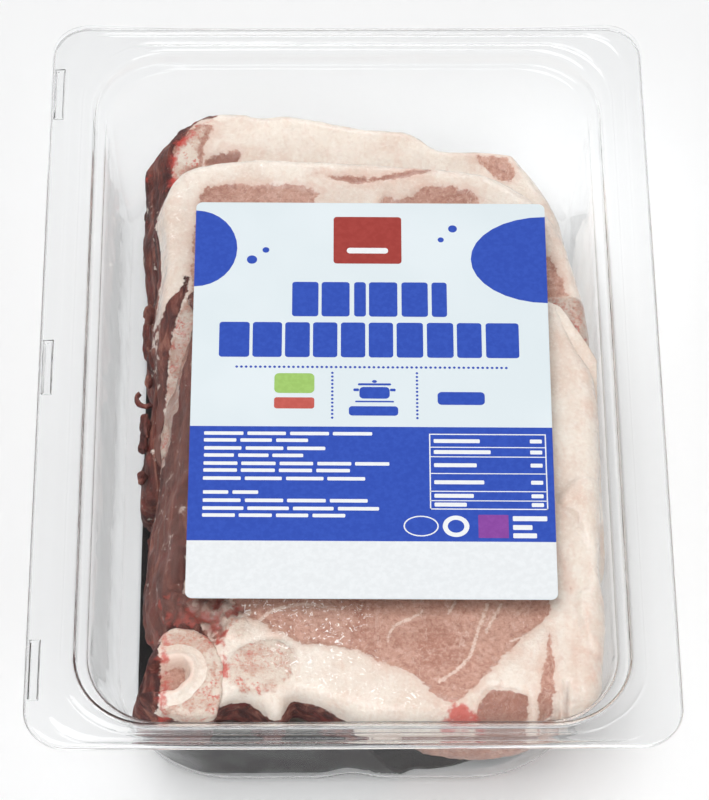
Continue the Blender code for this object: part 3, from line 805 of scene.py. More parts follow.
def tray_rings():
    """(half width, half length, corner, height, flare share) of the under face, rim to base."""
    rings = []
    for side, end, corner, drop, flare in TRAY_RIM:
        half_x = PACK_HALF - side * MM
        half_y = PACK_REACH - end * MM
        rings.append((half_x, half_y, corner * MM, RIM_TOP - drop * MM, flare))
    for shift, drop, corner in LEDGE_STEP:
        half_x = LEDGE_HALF[0] + shift * MM
        half_y = LEDGE_HALF[1] + shift * MM
        rings.append((half_x, half_y, corner * MM, RIM_TOP - drop * MM, 0.0))
    top_x, top_y, _, top_z, _ = rings[-1]
    for t in (0.17, 0.34, 0.5, 0.67, 0.84, 1.0):
        half_x = top_x + t * (BASE_HALF[0] - top_x)
        half_y = top_y + t * (BASE_HALF[1] - top_y)
        corner = LEDGE_CORNER + t * (BASE_CORNER - LEDGE_CORNER)
        rings.append((half_x, half_y, corner, top_z + t * (BASE_BEND - top_z), 0.0))
    for degrees in (15, 30, 45, 60, 75, 90):
        inset = BASE_BEND * (1.0 - math.cos(math.radians(degrees)))
        height = BASE_BEND * (1.0 - math.sin(math.radians(degrees)))
        half = (BASE_HALF[0] - inset, BASE_HALF[1] - inset)
        rings.append((*half, BASE_CORNER - inset, height, 0.0))
    return rings


def flare_out(places, half_x, half_y, share):
    """Pushes the rear corners of a ring back a little, as the rim's do."""
    along = places[:, 1] - PACK_MID
    push = FLARE_PUSH * share * np.abs(places[:, 0] / half_x) ** 3
    places[:, 1] += push * ease(0.6 * half_y, half_y, along)
    return places


def ring_places(half_x, half_y, corner, level, flare):
    """Places round a rounded rectangle, anticlockwise from its right side."""
    places = []
    for quarter, (side, end) in enumerate(((1, 1), (-1, 1), (-1, -1), (1, -1))):
        for i in range(CORNER_SEGMENTS + 1):
            angle = math.radians(90.0 * (quarter + i / CORNER_SEGMENTS))
            x = side * (half_x - corner) + corner * math.cos(angle)
            y = end * (half_y - corner) + corner * math.sin(angle)
            places.append((x, y + PACK_MID, level))
    return flare_out(np.array(places), half_x, half_y, flare)


def extrude_to(piece, before, after):
    """Extrudes the selected end face and moves its rim from one ring to the next."""
    take(piece)
    bpy.ops.object.mode_set(mode="EDIT")
    bpy.ops.mesh.select_mode(type="FACE")
    bpy.ops.mesh.extrude_region_move()
    leave()
    places = coords(piece)
    end = next(face for face in piece.data.polygons if face.select)
    for index in end.vertices:
        nearest = np.argmin(np.sum((before - places[index]) ** 2, axis=1))
        places[index] = after[nearest]
    set_coords(piece, places)


def open_mouth(piece):
    """Deletes the face that the first extrusion left across the mouth."""
    edit(piece, "FACE")
    bpy.ops.mesh.select_all(action="DESELECT")
    leave()
    widest = [face for face in piece.data.polygons if len(face.vertices) > 8]
    max(widest, key=lambda face: face.center.z).select = True
    bpy.ops.object.mode_set(mode="EDIT")
    bpy.ops.mesh.delete(type="ONLY_FACE")
    leave()


def press_clip_marks(tray):
    """Three rectangles pressed down into the left margin by the forming line."""
    for centre in CLIP_MARK_PLACES:
        edit(tray, "FACE")
        bpy.ops.mesh.select_all(action="DESELECT")
        leave()
        for face in tray.data.polygons:
            x, y, z = face.center
            across = -PACK_HALF + 0.7 * MM < x < -PACK_HALF + 4.4 * MM
            face.select = across and abs(y - centre) < CLIP_MARK_HALF and z > RIM_TOP - MM
        bpy.ops.object.mode_set(mode="EDIT")
        for border in CLIP_MARK_BORDERS:
            bpy.ops.mesh.inset(thickness=border, depth=0.0)
        bpy.ops.transform.translate(value=(0.0, 0.0, -CLIP_MARK_DEPTH))
        leave()


def make_tray(look):
    rings = [ring_places(*ring) for ring in tray_rings()]
    bpy.ops.mesh.primitive_circle_add(vertices=len(rings[0]), radius=1.0, fill_type="NGON")
    tray = bpy.context.object
    tray.name = "formed_tray"
    tray.data.name = "formed_tray"
    set_coords(tray, rings[0])
    for before, after in zip(rings, rings[1:]):
        extrude_to(tray, before, after)
    open_mouth(tray)
    marks = [place + side * CLIP_MARK_HALF for place in CLIP_MARK_PLACES for side in (-1, 1)]
    rows = [i * ROW_GAP * MM for i in range(-6, 7)]
    cut_rows(tray, 1, sorted(rows + marks))
    fine = [i * 2.0 * MM for i in range(-5, 6)]
    cut_rows(tray, 0, fine + [side * reach * MM for side in (-1, 1) for reach in (16.0, 24.0, 32.0)])
    press_clip_marks(tray)
    places = coords(tray)
    places[:, 2] += channel(places[:, 0]) * (1.0 - ease(0.0, CHANNEL_FADE, places[:, 2]))
    wavy = grain(places, 34.0 * MM, seed=3.0)
    places[:, 2] += 0.10 * MM * wavy * ease(30.0 * MM, 46.0 * MM, places[:, 2])
    set_coords(tray, places)
    apply(tray, "SOLIDIFY", thickness=SHEET, offset=1.0)
    smooth_shade(tray, math.radians(50))
    tray.data.materials.clear()
    tray.data.materials.append(look)
    return tray


def make_film(look):
    half = (PACK_HALF, PACK_REACH)
    film = rounded_sheet("lid_sheet", half, FILM_CORNER, (0.0, PACK_MID), FILM_LOW + 0.1 * MM)
    cut_rows(film, 0, [i * ROW_GAP * MM for i in range(-6, 7)])
    cut_rows(film, 1, [i * ROW_GAP * MM for i in range(-9, 10)])
    places = flare_out(coords(film), PACK_HALF, PACK_REACH, 1.0)
    taut = ease(0.0, 14.0 * MM, np.minimum(74.0 * MM - abs(places[:, 0]), 112.0 * MM - abs(places[:, 1])))
    places[:, 2] += FILM_RIPPLE * grain(places, 30.0 * MM, seed=8.0) * taut
    set_coords(film, places)
    apply(film, "SOLIDIFY", thickness=FILM_GAUGE, offset=1.0)
    smooth_shade(film)
    film.data.materials.append(look)
    return film


def on_label(piece):
    """Turns and moves a piece drawn round the label's centre to its place on the pack."""
    take(piece)
    turn = Matrix.Rotation(LABEL_TURN, 4, "Z")
    piece.data.transform(Matrix.Translation(LABEL_CENTRE) @ turn)
    piece.data.update()
    return piece


def make_label(look):
    half = (LABEL_SIZE[0] / 2, LABEL_SIZE[1] / 2)
    label = rounded_sheet("label_sheet", half, LABEL_CORNER, (0.0, 0.0), LABEL_LOW, 8)
    apply(label, "SOLIDIFY", thickness=LABEL_GAUGE, offset=1.0)
    apply(label, "BEVEL", width=0.04 * MM, segments=1, limit_method="ANGLE")
    smooth_shade(label)
    label.data.materials.append(look)
    return on_label(label)


def patch(at, size, corner=0.0, layer=1):
    """A printed field on the label: its centre and size in millimetres, and which layer it lies in."""
    level = LABEL_LOW + LABEL_GAUGE + layer * INK
    half = (size[0] * MM / 2, size[1] * MM / 2)
    return rounded_sheet("patch", half, corner * MM, (at[0] * MM, at[1] * MM), level, 5)


def disc(at, size, layer=1, keep=None, sides=32):
    """A printed disc or oval; keep cuts it off past this place, given as (axis, side, place)."""
    level = LABEL_LOW + LABEL_GAUGE + layer * INK
    bpy.ops.mesh.primitive_circle_add(
        vertices=sides, radius=0.5, fill_type="NGON", location=(at[0] * MM, at[1] * MM, level)
    )
    made = bpy.context.object
    made.scale = (size[0] * MM, size[1] * MM, 1.0)
    settle(made)
    if keep:
        axis, side, place = keep
        point, normal = [0.0, 0.0, 0.0], [0.0, 0.0, 0.0]
        point[axis], normal[axis] = place * MM, side
        edit(made)
        bpy.ops.mesh.bisect(plane_co=point, plane_no=normal, clear_inner=True)
        leave()
    return made


def outline_box(centre, size, line):
    """Four printed lines round a box."""
    x, y = centre
    wide, high = size
    sides = [((x, y + side * high / 2), (wide + line, line)) for side in (-1, 1)]
    sides += [((x + side * wide / 2, y), (line, high + line)) for side in (-1, 1)]
    return [patch(at, box, 0.0, 2) for at, box in sides]


def print_piece(name, shapes, look):
    """Joins printed shapes, gives them the ink's thickness and puts them on the label."""
    piece = join(shapes, name)
    edit(piece)
    bpy.ops.mesh.normals_make_consistent(inside=False)
    leave()
    if piece.data.polygons[0].normal.z < 0:
        edit(piece)
        bpy.ops.mesh.flip_normals()
        leave()
    apply(piece, "SOLIDIFY", thickness=INK * 0.6, offset=1.0)
    piece.data.materials.append(look)
    return on_label(piece)


def blue_print():
    half_x = LABEL_SIZE[0] / 2 / MM
    shapes = [patch((0.0, -30.2), (2 * half_x, 38.0))]
    shapes.append(disc((-half_x, 51.0), (24.6, 27.4), keep=(0, 1.0, -half_x)))
    shapes.append(disc((half_x, 47.5), (44.0, 31.0), keep=(0, -1.0, half_x)))
    for x, y, size in ((-34.5, 47.0, 3.0), (-30.5, 50.5, 2.0), (24.0, 58.5, 2.6), (20.5, 54.5, 1.8)):
        shapes.append(disc((x, y), (size, size), sides=20))
    for start, wide in TITLE_UPPER:
        shapes.append(patch((start + wide / 2, 33.0), (wide, 12.2), 0.9))
    for start, wide in TITLE_LOWER:
        shapes.append(patch((start + wide / 2, 18.7), (wide, 12.2), 0.9))
    for i in range(58):
        shapes.append(disc((-38.3 + i * 1.35, 9.2), (0.8, 0.8), sides=10))
    for i in range(13):
        shapes.append(disc((-11.0, 7.2 - i * 1.28), (0.75, 0.75), sides=10))
        shapes.append(disc((13.1, 7.2 - i * 1.28), (0.75, 0.75), sides=10))
    shapes += pot_shapes()
    shapes.append(patch((0.7, -5.8), (14.0, 3.2), 1.0))
    shapes.append(patch((25.6, -1.4), (13.4, 4.4), 1.2))
    return shapes


def pot_shapes():
    """A plain cooking pot with a lid and two handles."""
    shapes = [patch((1.0, 0.4), (8.6, 4.0), 1.2), patch((1.0, 3.3), (9.4, 0.7), 0.3)]
    shapes += [patch((1.0 + side * 5.2, 1.4), (1.6, 0.9), 0.3) for side in (-1, 1)]
    shapes.append(disc((1.0, 4.3), (1.4, 1.0), sides=14))
    shapes.append(patch((1.0, -2.6), (11.0, 0.5), 0.2))
    return shapes


def white_print():
    shapes = []
    for top, end in SMALL_LINES:
        start = -47.6
        pieces = 1 + int((end - start) // 13.0)
        wide = (end - start) / pieces
        for i in range(pieces):
            short = 1.0 + 0.12 * ((i * 5 + int(-top)) % 3)
            shapes.append(patch((start + (i + 0.5) * wide, top - 0.9), (wide - short, 1.15), 0.3, 2))
    shapes += outline_box((32.8, -26.1), (32.6, 24.9), 0.35)
    for y in TABLE_RULES:
        shapes.append(patch((32.8, y), (32.6, 0.3), 0.0, 2))
    for i, y in enumerate(TABLE_ROWS):
        shapes.append(patch((17.6 + TABLE_WORDS[i] / 2, y), (TABLE_WORDS[i], 1.3), 0.3, 2))
        shapes.append(patch((46.4, y), (3.4, 1.3), 0.3, 2))
    shapes.append(disc((23.5, -44.2), (7.4, 7.0), 2))
    for x, wide, y in ((44.1, 9.6, -41.6), (42.0, 5.4, -44.5), (42.6, 6.6, -47.2)):
        shapes.append(patch((x, y), (wide, 1.6), 0.3, 2))
    return shapes


def make_print():
    bright = ink("bright_ink", (243, 245, 247), 4)
    blue = ink("blue_ink", (37, 75, 183))
    wide = LABEL_SIZE[0] / MM
    pieces = [print_piece("print_blue", blue_print(), blue)]
    foot = [patch((0.0, -58.4), (wide, 18.4), 2.0), patch((0.0, -51.7), (wide, 5.0))]
    pieces.append(print_piece("print_foot", foot, ink("foot_ink", (236, 239, 241), 6)))
    pieces.append(print_piece("print_white", white_print(), bright))
    red = [patch((-0.9, 54.2), (19.8, 16.9), 1.0)]
    pieces.append(print_piece("print_red", red, ink("red_ink", (163, 54, 47))))
    rings = [disc((13.8, -44.2), (9.8, 6.8), 2), patch((-0.9, 50.4), (12.0, 2.0), 0.9, 2)]
    pieces.append(print_piece("print_rings", rings, bright))
    cores = [disc((13.8, -44.2), (9.0, 6.0), 3), disc((23.5, -44.2), (4.6, 4.2), 3)]
    pieces.append(print_piece("print_cores", cores, blue))
    for colour, tint, *field_shape in COLOUR_FIELDS:
        pieces.append(print_piece(f"print_{colour}", [patch(*field_shape)], ink(f"{colour}_ink", tint)))
    return pieces


# Pad and meat.


def hold_inside(places):
    """Pulls places back to just inside the tray's wall."""
    x, y, z = places.T
    mid = y - PACK_MID
    top = RIM_TOP - 6.9 * MM
    t = np.clip((z - BASE_BEND) / (top - BASE_BEND), 0.0, 1.0)
    sink = np.clip(1.0 - (z - SHEET) / BASE_BEND, 0.0, 1.0)
    inset = SHEET + BASE_BEND * (1.0 - np.sqrt(1.0 - sink**2)) + WALL_CLEAR
    half_x = BASE_HALF[0] + t * (LEDGE_HALF[0] - 0.7 * MM - BASE_HALF[0]) - inset
    half_y = BASE_HALF[1] + t * (LEDGE_HALF[1] - 0.7 * MM - BASE_HALF[1]) - inset
    radius = BASE_CORNER + t * (LEDGE_CORNER - BASE_CORNER) - inset
    over_x = np.maximum(np.abs(x) - (half_x - radius), 0.0)
    over_y = np.maximum(np.abs(mid) - (half_y - radius), 0.0)
    reach = np.hypot(over_x, over_y)
    shrink = np.where(reach > radius, 1.0 - radius / np.maximum(reach, 1e-9), 0.0)
    x = x - np.sign(x) * over_x * shrink
    y = y - np.sign(mid) * over_y * shrink
    return np.stack((x, y, z), axis=1)


def make_pad(look):
    """The soaking pad: a quilted sheet whose front left edge is turned up against the tray."""
    low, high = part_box("soak_pad")
    half = ((high.x - low.x) / 2, (high.y - low.y) / 2)
    bpy.ops.mesh.primitive_grid_add(x_subdivisions=90, y_subdivisions=150, size=2.0)
    pad = bpy.context.object
    pad.name = "soaking_pad"
    x, y, _ = coords(pad).T
    x, y = x * half[0], y * half[1]
    right = np.maximum(x - 22.0 * MM, 0.0) / (half[0] - 22.0 * MM)
    y = y * (1.0 - 0.15 * right**1.5)
    left = 1.0 - ease(-2.0 * MM, 18.0 * MM, x)
    quilt = np.abs(np.sin(x / QUILT_SIZE * math.pi)) * np.abs(np.sin(y / QUILT_SIZE * math.pi))
    spare = np.clip((-y - half[1] + PAD_GATHER) / PAD_GATHER, 0.0, 1.0)
    reach = -y + PAD_SPARE * left * spare
    beyond = np.maximum(reach - (BASE_HALF[1] - BASE_BEND), 0.0)
    angle = np.minimum(beyond / PAD_BEND, PAD_TURN)
    rise = np.maximum(beyond - PAD_BEND * PAD_TURN, 0.0)
    y = -(reach - beyond) - PAD_BEND * np.sin(angle) - 0.1 * rise
    z = low.z + 0.1 * MM + channel(x) + PAD_BEND * (1.0 - np.cos(angle)) + rise + QUILT_DEPTH * quilt**0.5
    places = np.stack((x, y + PACK_MID, z), axis=1)
    places[:, 2] += 0.25 * MM * grain(places, 18.0 * MM, seed=5.0)
    set_coords(pad, hold_inside(places))
    apply(pad, "SOLIDIFY", thickness=PAD_GAUGE, offset=1.0)
    smooth_shade(pad, math.radians(70))
    pad.data.materials.append(look)
    return pad


def even(level):
    """A level that is the same all over the plan."""
    return lambda x, y: level + 0.0 * x


def slab(name, outline, thick, voxel):
    """A thick slice: a circle set out along the outline, extruded, and remeshed to an even skin."""
    curve = curve_points(outline, closed=True)
    bpy.ops.mesh.primitive_circle_add(vertices=len(curve), radius=1.0, fill_type="NGON")
    piece = bpy.context.object
    piece.name = name
    piece.data.name = name
    set_coords(piece, np.column_stack((curve, np.zeros(len(curve)))))
    edit(piece)
    bpy.ops.mesh.extrude_region_move(TRANSFORM_OT_translate={"value": (0.0, 0.0, thick)})
    bpy.ops.mesh.select_all(action="SELECT")
    bpy.ops.mesh.normals_make_consistent(inside=False)
    leave()
    apply(piece, "REMESH", mode="VOXEL", voxel_size=voxel)
    return piece, curve


def shape_slab(piece, curve, thick, low, high, fillet, foot):
    """Gives a slab its faces, rounds its rim and sets its left foot out; returns depth and share."""
    places = coords(piece)
    plan = places[:, :2]
    depth = depth_inside(plan, curve)
    share = np.clip(places[:, 2] / thick, 0.0, 1.0)
    bottom, top = low(*plan.T), high(*plan.T)
    half = (top - bottom) / 2
    curl = np.minimum(fillet(*plan.T), half * 0.95)
    near = np.clip(depth, 0.0, curl)
    keep = half - curl + np.sqrt(np.maximum(curl**2 - (curl - near) ** 2, 0.0))
    z = (top + bottom) / 2 + (2.0 * share - 1.0) * keep
    left = ease(-15.0 * MM, -42.0 * MM, plan[:, 0])
    x = plan[:, 0] - foot[0] * np.clip((top - z) / foot[1], 0.0, 1.0) * left
    set_coords(piece, hold_inside(np.stack((x, plan[:, 1], z), axis=1)))
    return depth, share


def start_meat(name, outline, thick, levels, foot, voxel=SKIN):
    """A shaped slice with its plan places, depth in from the edge and share of the height."""
    piece, curve = slab(name, outline, thick, voxel)
    plan = coords(piece)[:, :2].copy()
    depth, share = shape_slab(piece, curve, thick, *levels, foot)
    return piece, plan, depth, share


def lift(piece, relief):
    """Raises each vertex by so many millimetres."""
    places = coords(piece)
    places[:, 2] += relief * MM
    set_coords(piece, places)


def push(piece, amounts):
    """Moves each vertex along its normal."""
    places = coords(piece) + normals(piece) * amounts[:, None]
    set_coords(piece, hold_inside(places))


def veins(plan, paths):
    """Height of the nearest vein above the surface field, in millimetres."""
    found = np.full(len(plan), -9.0)
    for width, *points in paths:
        away = path_distance(plan, curve_points(points, closed=False, steps=4), False) / MM
        found = np.maximum(found, width - away)
    return found


def deepest(plan, loops):
    """How far inside the nearest of these loops, in millimetres."""
    found = np.full(len(plan), -9.0)
    for loop in loops:
        found = np.maximum(found, depth_inside(plan, curve_points(loop, True, 5)) / MM)
    return found


def finish_meat(piece, look, fields):
    count = len(piece.data.vertices)
    for name in ("lean", "vein", "bone", "side", "blood", "wet_gloss_and_painted_glint"):
        store(piece, name, fields.get(name, np.full(count, -9.0)))
    for name in ("deep", "shade"):
        store(piece, name, fields.get(name, np.zeros(count)))
    piece.data.shade_smooth()
    piece.data.materials.append(look)
    return piece


# Chops.


def sawn_side(depth, share, plan, width=1.5, top=0.93):
    """Field of the dark sawn side: its width in from the left edge, and its top as a share of the height."""
    left = 12.0 * ease(-30.0 * MM, -42.0 * MM, plan[:, 0]) - 11.0
    return np.minimum(np.minimum(width - depth / MM, 9.0 * (top - share)), left)


def rough(piece, lean, side, seed):
    """Coarse swells, a finer grain that is stronger on the lean, and drawn-out ridges on the sawn side."""
    places = coords(piece)
    on_lean = ease(-1.0, 1.0, lean)
    on_side = ease(-1.0, 0.6, side)
    swell = 0.45 * grain(places, 13.0 * MM, seed)
    fine = grain(places, 2.4 * MM, seed + 1.0) * (0.14 + 0.22 * on_lean)
    ridges = grain(places * np.array((1.0, 0.3, 1.0)), 3.4 * MM, seed + 2.0, 3) * 1.1 * on_side
    return (swell + fine + ridges) * MM


def front_low(x, y):
    return UPPER_FLOOR + SCARF_RISE * ease(SCARF_START, SCARF_END, y)


def front_high(x, y):
    crown = 0.6 * MM * np.cos(np.clip(x / (90.0 * MM), -1.0, 1.0) * math.pi / 2)
    return FRONT_TOP + crown


def front_fillet(x, y):
    right = ease(20.0 * MM, 60.0 * MM, x)
    front = ease(-98.0 * MM, -108.0 * MM, y)
    rear = ease(10.0 * MM, 26.0 * MM, y)
    return MM * (1.4 + 4.4 * right + 2.2 * front + 1.2 * rear)


def make_front_chop(look):
    """The top chop: loin, fat rim on the right, spongy bone and torn meat at the front left."""
    levels = (front_low, front_high, front_fillet)
    made = start_meat("front_chop", FRONT_EDGE, FRONT_BLANK, levels, FRONT_FOOT, FINE_SKIN)
    piece, plan, depth, share = made
    upper = ease(0.5, 1.0, share)
    loin = deepest(plan, [LOIN])
    lump = deepest(plan, [DARK_LUMP])
    bone = deepest(plan, [SPONGY_BONE])
    cap = deepest(plan, [BONE_CAP])
    torn = deepest(plan, [TORN_MEAT])
    seam = deepest(plan, [RIGHT_SEAM])
    lobe = deepest(plan, [SECOND_LOBE])
    places = coords(piece)
    tatter = grain(places, 2.6 * MM, 15.0, 4)
    lean = np.maximum(deepest(plan, [THIN_STRIP]), torn - 2.0 * tatter - 1.5)
    lean = np.maximum(np.maximum(loin, lump), lean)
    relief = -0.7 * ease(-1.0, 1.6, loin) + 0.5 * ease(-0.8, 0.8, lump)
    relief += 0.4 * ease(-1.4, 1.4, bone) + 0.8 * ease(-0.6, 1.4, cap)
    relief += -1.8 * ease(-1.0, 0.8, seam) + 1.6 * ease(-1.2, 1.8, lobe)
    relief += (1.8 * tatter - 1.6) * ease(-0.5, 3.0, torn)
    relief -= 0.6 * ease(1.2, 0.0, abs(bone + 1.0)) + 0.8 * ease(1.2, 0.0, abs(lump + 0.9))
    places[:, 2] += relief * upper * MM
    foot = ease(0.95, 0.15, share) * ease(55.0 * MM, 66.0 * MM, plan[:, 0])
    places[:, 0] += 5.0 * MM * foot * ease(-66.0 * MM, -56.0 * MM, plan[:, 1])
    set_coords(piece, places)
    side = sawn_side(depth, share, plan, 4.5, 1.2)
    # The front side faces in the bays of the front edge take the dark side colour: brown meat, darkened as
    # painted shade of the hollows.
    inner = np.minimum(plan[:, 0] / MM + 37.0, 7.0 - plan[:, 0] / MM)
    limit = np.interp(plan[:, 0] / MM, (-37.0, -9.0, 10.0), (0.84, 0.84, 0.0)) + 0.06 * tatter
    bays = np.minimum(np.minimum(inner + 5.0, 9.0 * (limit - share)), -97.0 - plan[:, 1] / MM)
    push(piece, rough(piece, lean, side, 11.0))
    level = coords(piece)[:, 2] / MM
    along = plan[:, 1] / MM
    band = 3.2 - abs(level - 31.6 - 0.19 * (along + 16.0))
    band = np.minimum(band, np.minimum(30.0 - along, along + 24.0) * 0.5)
    band = np.where((plan[:, 0] < -40.0 * MM) & (depth < 1.6 * MM), band, -9.0)
    blood = np.maximum(deepest(plan, [BLOOD_SPOT]), np.minimum(torn, 3.0) - 3.2 - 5.0 * tatter)
    fields = {
        "lean": np.maximum(np.where(share > 0.4, lean, np.minimum(lean, 0.0)), veins(plan, PINK_LINES) - 1.4),
        "deep": 0.5 * ease(-0.4, 0.4, lump) + 0.45 * ease(-1.0, 2.0, torn + 1.5 * tatter),
        "vein": np.maximum(np.minimum(veins(plan, VEINS), loin + 2.0), np.minimum(torn, 3.4 * tatter - 0.5)),
        "bone": np.maximum(np.maximum(bone, cap - 0.3), band),
        "side": np.where(band > 0.0, -2.0, np.maximum(side, bays)),
        "blood": np.where(share > 0.6, blood, -9.0),
        # Painted highlight: area of pale glint specks on the lean and the front band.
        "wet_gloss_and_painted_glint": np.minimum(deepest(plan, [PAINTED_GLINT_LEAN, PAINTED_GLINT_BAND]), 9.0 * share - 5.0),
        # Painted shade in the seam groove, in the creases of the torn meat and on the band.
        "shade": 0.6 * ease(-0.5, 1.0, seam) + 0.6 * ease(1.6, 3.2, torn - 3.0 * tatter) + 0.3 * (band > 0.0),
    }
    tan = ease(0.0, 1.0, side) * ease(29.0, 34.0, level) * ease(-90.0, -60.0, along) * (0.55 + 0.3 * tatter)
    fields["shade"] = np.clip(np.maximum(fields["shade"], tan), 0.0, 0.8)
    x = plan[:, 0] / MM
    # The lower front side, seen through the front wall, gets lean, darker lean and painted shade.
    skirt = np.minimum(np.minimum(34.0 - level, -100.0 - along), np.minimum(x - 12.0, 56.0 - x) * 0.4)
    fields["lean"] = np.maximum(fields["lean"], skirt)
    fields["deep"] = np.maximum(fields["deep"], 0.8 * ease(-0.5, 1.0, skirt))
    fields["shade"] = np.maximum(fields["shade"], 0.4 * ease(-0.5, 1.0, skirt))
    fields["blood"] = np.maximum(fields["blood"], veins(plan, [BLOOD_STREAK]))
    finish_meat(piece, look, fields)
    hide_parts("chop_front")
    return piece


def middle_high(x, y):
    return np.minimum(MIDDLE_TOP + 0.0 * x, front_low(x, y) - TIER_GAP)


def middle_fillet(x, y):
    right = ease(20.0 * MM, 60.0 * MM, x)
    rear = ease(50.0 * MM, 70.0 * MM, y) * ease(-60.0 * MM, -40.0 * MM, x)
    return MM * (1.5 + 3.2 * right + 3.0 * rear)


def make_middle_chop(look):
    """The chop under it, whose rear half shows: a fat rim round two patches of lean."""
    levels = (even(UPPER_FLOOR), middle_high, middle_fillet)
    made = start_meat("middle_chop", MIDDLE_EDGE, MIDDLE_BLANK, levels, MIDDLE_FOOT)
    piece, plan, depth, share = made
    upper = ease(0.5, 1.0, share)
    streak = deepest(plan, [MEAT_STREAK])
    main = deepest(plan, [LEAN_LEFT, LEAN_RIGHT, LEAN_WEDGE])
    lean = np.maximum(main, streak)
    relief = -0.9 * ease(-1.2, 1.6, main) - 0.5 * ease(-0.6, 0.6, streak)
    lift(piece, relief * upper)
    x, y = plan.T / MM
    # A narrow cleft band near the left edge takes the dark side colour: painted shade of the gap there.
    cleft_left = np.interp(y, (-12, 22, 27, 34), (-55.6, -54.4, -52.6, -48.0))
    cleft_right = np.interp(y, (-12, 0, 9, 18, 28, 35), (-55.0, -53.7, -52.9, -52.0, -48.2, -47.0))
    cleft = np.minimum(np.minimum(x - cleft_left, cleft_right - x), 36.0 - y)
    marrow = np.minimum(np.minimum(x - cleft_right - 0.4, 29.0 - y), 8.0 * share - 4.0)
    side = np.maximum(sawn_side(depth, share, plan, 1.0, 0.3), 1.5 * cleft + 0.4)
    side = np.maximum(side, np.minimum(-7.0 - y, 1.5 - depth / MM))
    push(piece, rough(piece, lean, side, 23.0))
    # Painted shade: the fat strip along the left edge darkens toward the front, and the marrow is shaded too.
    strip = ease(-52.8, -54.4, x) * np.interp(y, (-14, 0, 24, 34), (0.9, 0.5, 0.22, 0.0))
    fields = {
        "lean": lean,
        "deep": 0.3 * ease(-0.4, 0.4, streak),
        "side": side,
        "bone": marrow,
        # Painted highlight: area of pale glint specks on the rim.
        "wet_gloss_and_painted_glint": np.minimum(deepest(plan, [PAINTED_GLINT_RIM]), 9.0 * share - 5.0) - 1.5,
        "shade": strip + 0.25 * (marrow > 0.0),
    }
    finish_meat(piece, look, fields)
    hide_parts("chop_middle")
    return piece


def rear_low(x, y):
    return CHOP_FLOOR + channel(x)


def rear_high(x, y):
    return REAR_TOP + REAR_LIFT * ease(83.0 * MM, 103.0 * MM, y)


def rear_fillet(x, y):
    right = ease(20.0 * MM, 60.0 * MM, x)
    back = ease(84.0 * MM, 100.0 * MM, y)
    return MM * (1.6 + 4.0 * right + 3.6 * back * ease(-56.0 * MM, -40.0 * MM, x))


def make_rear_chop(look):
    """The lower chop at the rear: a wide fat end with a reddish corner and a small piece of meat."""
    levels = (rear_low, rear_high, rear_fillet)
    piece, plan, depth, share = start_meat("rear_chop", REAR_EDGE, REAR_BLANK, levels, REAR_FOOT)
    upper = ease(0.5, 1.0, share)
    bit = deepest(plan, [SMALL_MEAT])
    corner = deepest(plan, [CHINE_CORNER])
    dark = deepest(plan, [DARK_MEAT])
    lean = np.maximum(np.maximum(bit, corner), np.maximum(dark, deepest(plan, [REAR_LEAN])))
    relief = -0.7 * ease(-0.6, 0.8, bit) - 0.8 * ease(-0.8, 1.0, dark) + 0.4 * ease(-1.0, 1.0, corner)
    lift(piece, relief * upper)
    side = sawn_side(depth, share, plan, 2.2, 1.2)
    push(piece, rough(piece, lean, side, 37.0))
    fields = {
        "lean": lean,
        "deep": 0.7 * ease(-0.4, 0.4, dark) + 0.3 * ease(-0.4, 0.4, corner),
        "side": side,
        "blood": np.minimum(1.6 - abs(depth / MM - 2.4), corner + 2.0) - 0.4,
        "bone": corner - 1.5,
    }
    finish_meat(piece, look, fields)
    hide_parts("chop_rear")
    return piece


def lower_fillet(x, y):
    right = ease(20.0 * MM, 60.0 * MM, x)
    return MM * (2.2 + 3.6 * right)


def make_lower_chop(look):
    """The chop at the bottom front, which shows only along its sides."""
    levels = (rear_low, even(LOWER_TOP), lower_fillet)
    piece, plan, depth, share = start_meat("lower_chop", LOWER_EDGE, LOWER_BLANK, levels, LOWER_FOOT)
    lean = deepest(plan, [LOWER_LEAN])
    side = sawn_side(depth, share, plan, 8.0, 1.2)
    push(piece, rough(piece, lean, side, 51.0))
    fields = {"lean": lean, "side": side}
    finish_meat(piece, look, fields)
    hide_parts("chop_lower")
    return piece


def make_vertebra(look):
    """The sawn vertebra at the front left corner, with the notch of its canal."""
    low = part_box("chine_bone")[0].z
    high = FRONT_TOP + 0.9 * MM
    levels = (even(low), even(high), even(BONE_FILLET))
    made = start_meat("vertebra", VERTEBRA, high - low, levels, BONE_FOOT, BONE_SKIN)
    piece, plan, depth, share = made
    canal = deepest(plan, [CANAL])
    places = coords(piece)
    places[:, 2] -= 4.5 * MM * ease(-0.5, 1.2, canal) * ease(0.5, 1.0, share)
    places[:, 2] += 0.8 * MM * ease(1.6, 0.0, abs(canal + 1.4)) * ease(0.5, 1.0, share)
    set_coords(piece, places)
    push(piece, 0.35 * MM * grain(coords(piece), 3.0 * MM, 71.0))
    west = -52.6 - plan[:, 0] / MM + 1.2 * grain(coords(piece), 3.0 * MM, 73.0)
    low_side = np.minimum(1.6 - depth / MM, 9.0 * (0.8 - share))
    ring = ease(3.4, 1.8, abs(canal + 2.2))
    inner = ease(0.0, 0.8, canal)
    rim = 2.2 * ease(1.6, 0.6, depth / MM)
    fields = {
        "bone": np.where(share > 0.6, 3.0, -9.0) - rim - 6.0 * ring - 12.0 * inner,
        "side": np.maximum(low_side, np.where(plan[:, 1] < -88.0 * MM, 1.4 * west, -9.0)),
        "lean": canal - 0.7,
        "vein": 1.0 - abs(canal + 0.4),
        "blood": np.where(share > 0.5, 1.6 - abs(west + 1.0), -9.0) - 0.6,
    }
    finish_meat(piece, look, fields)
    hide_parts("chine_bone")
    return piece


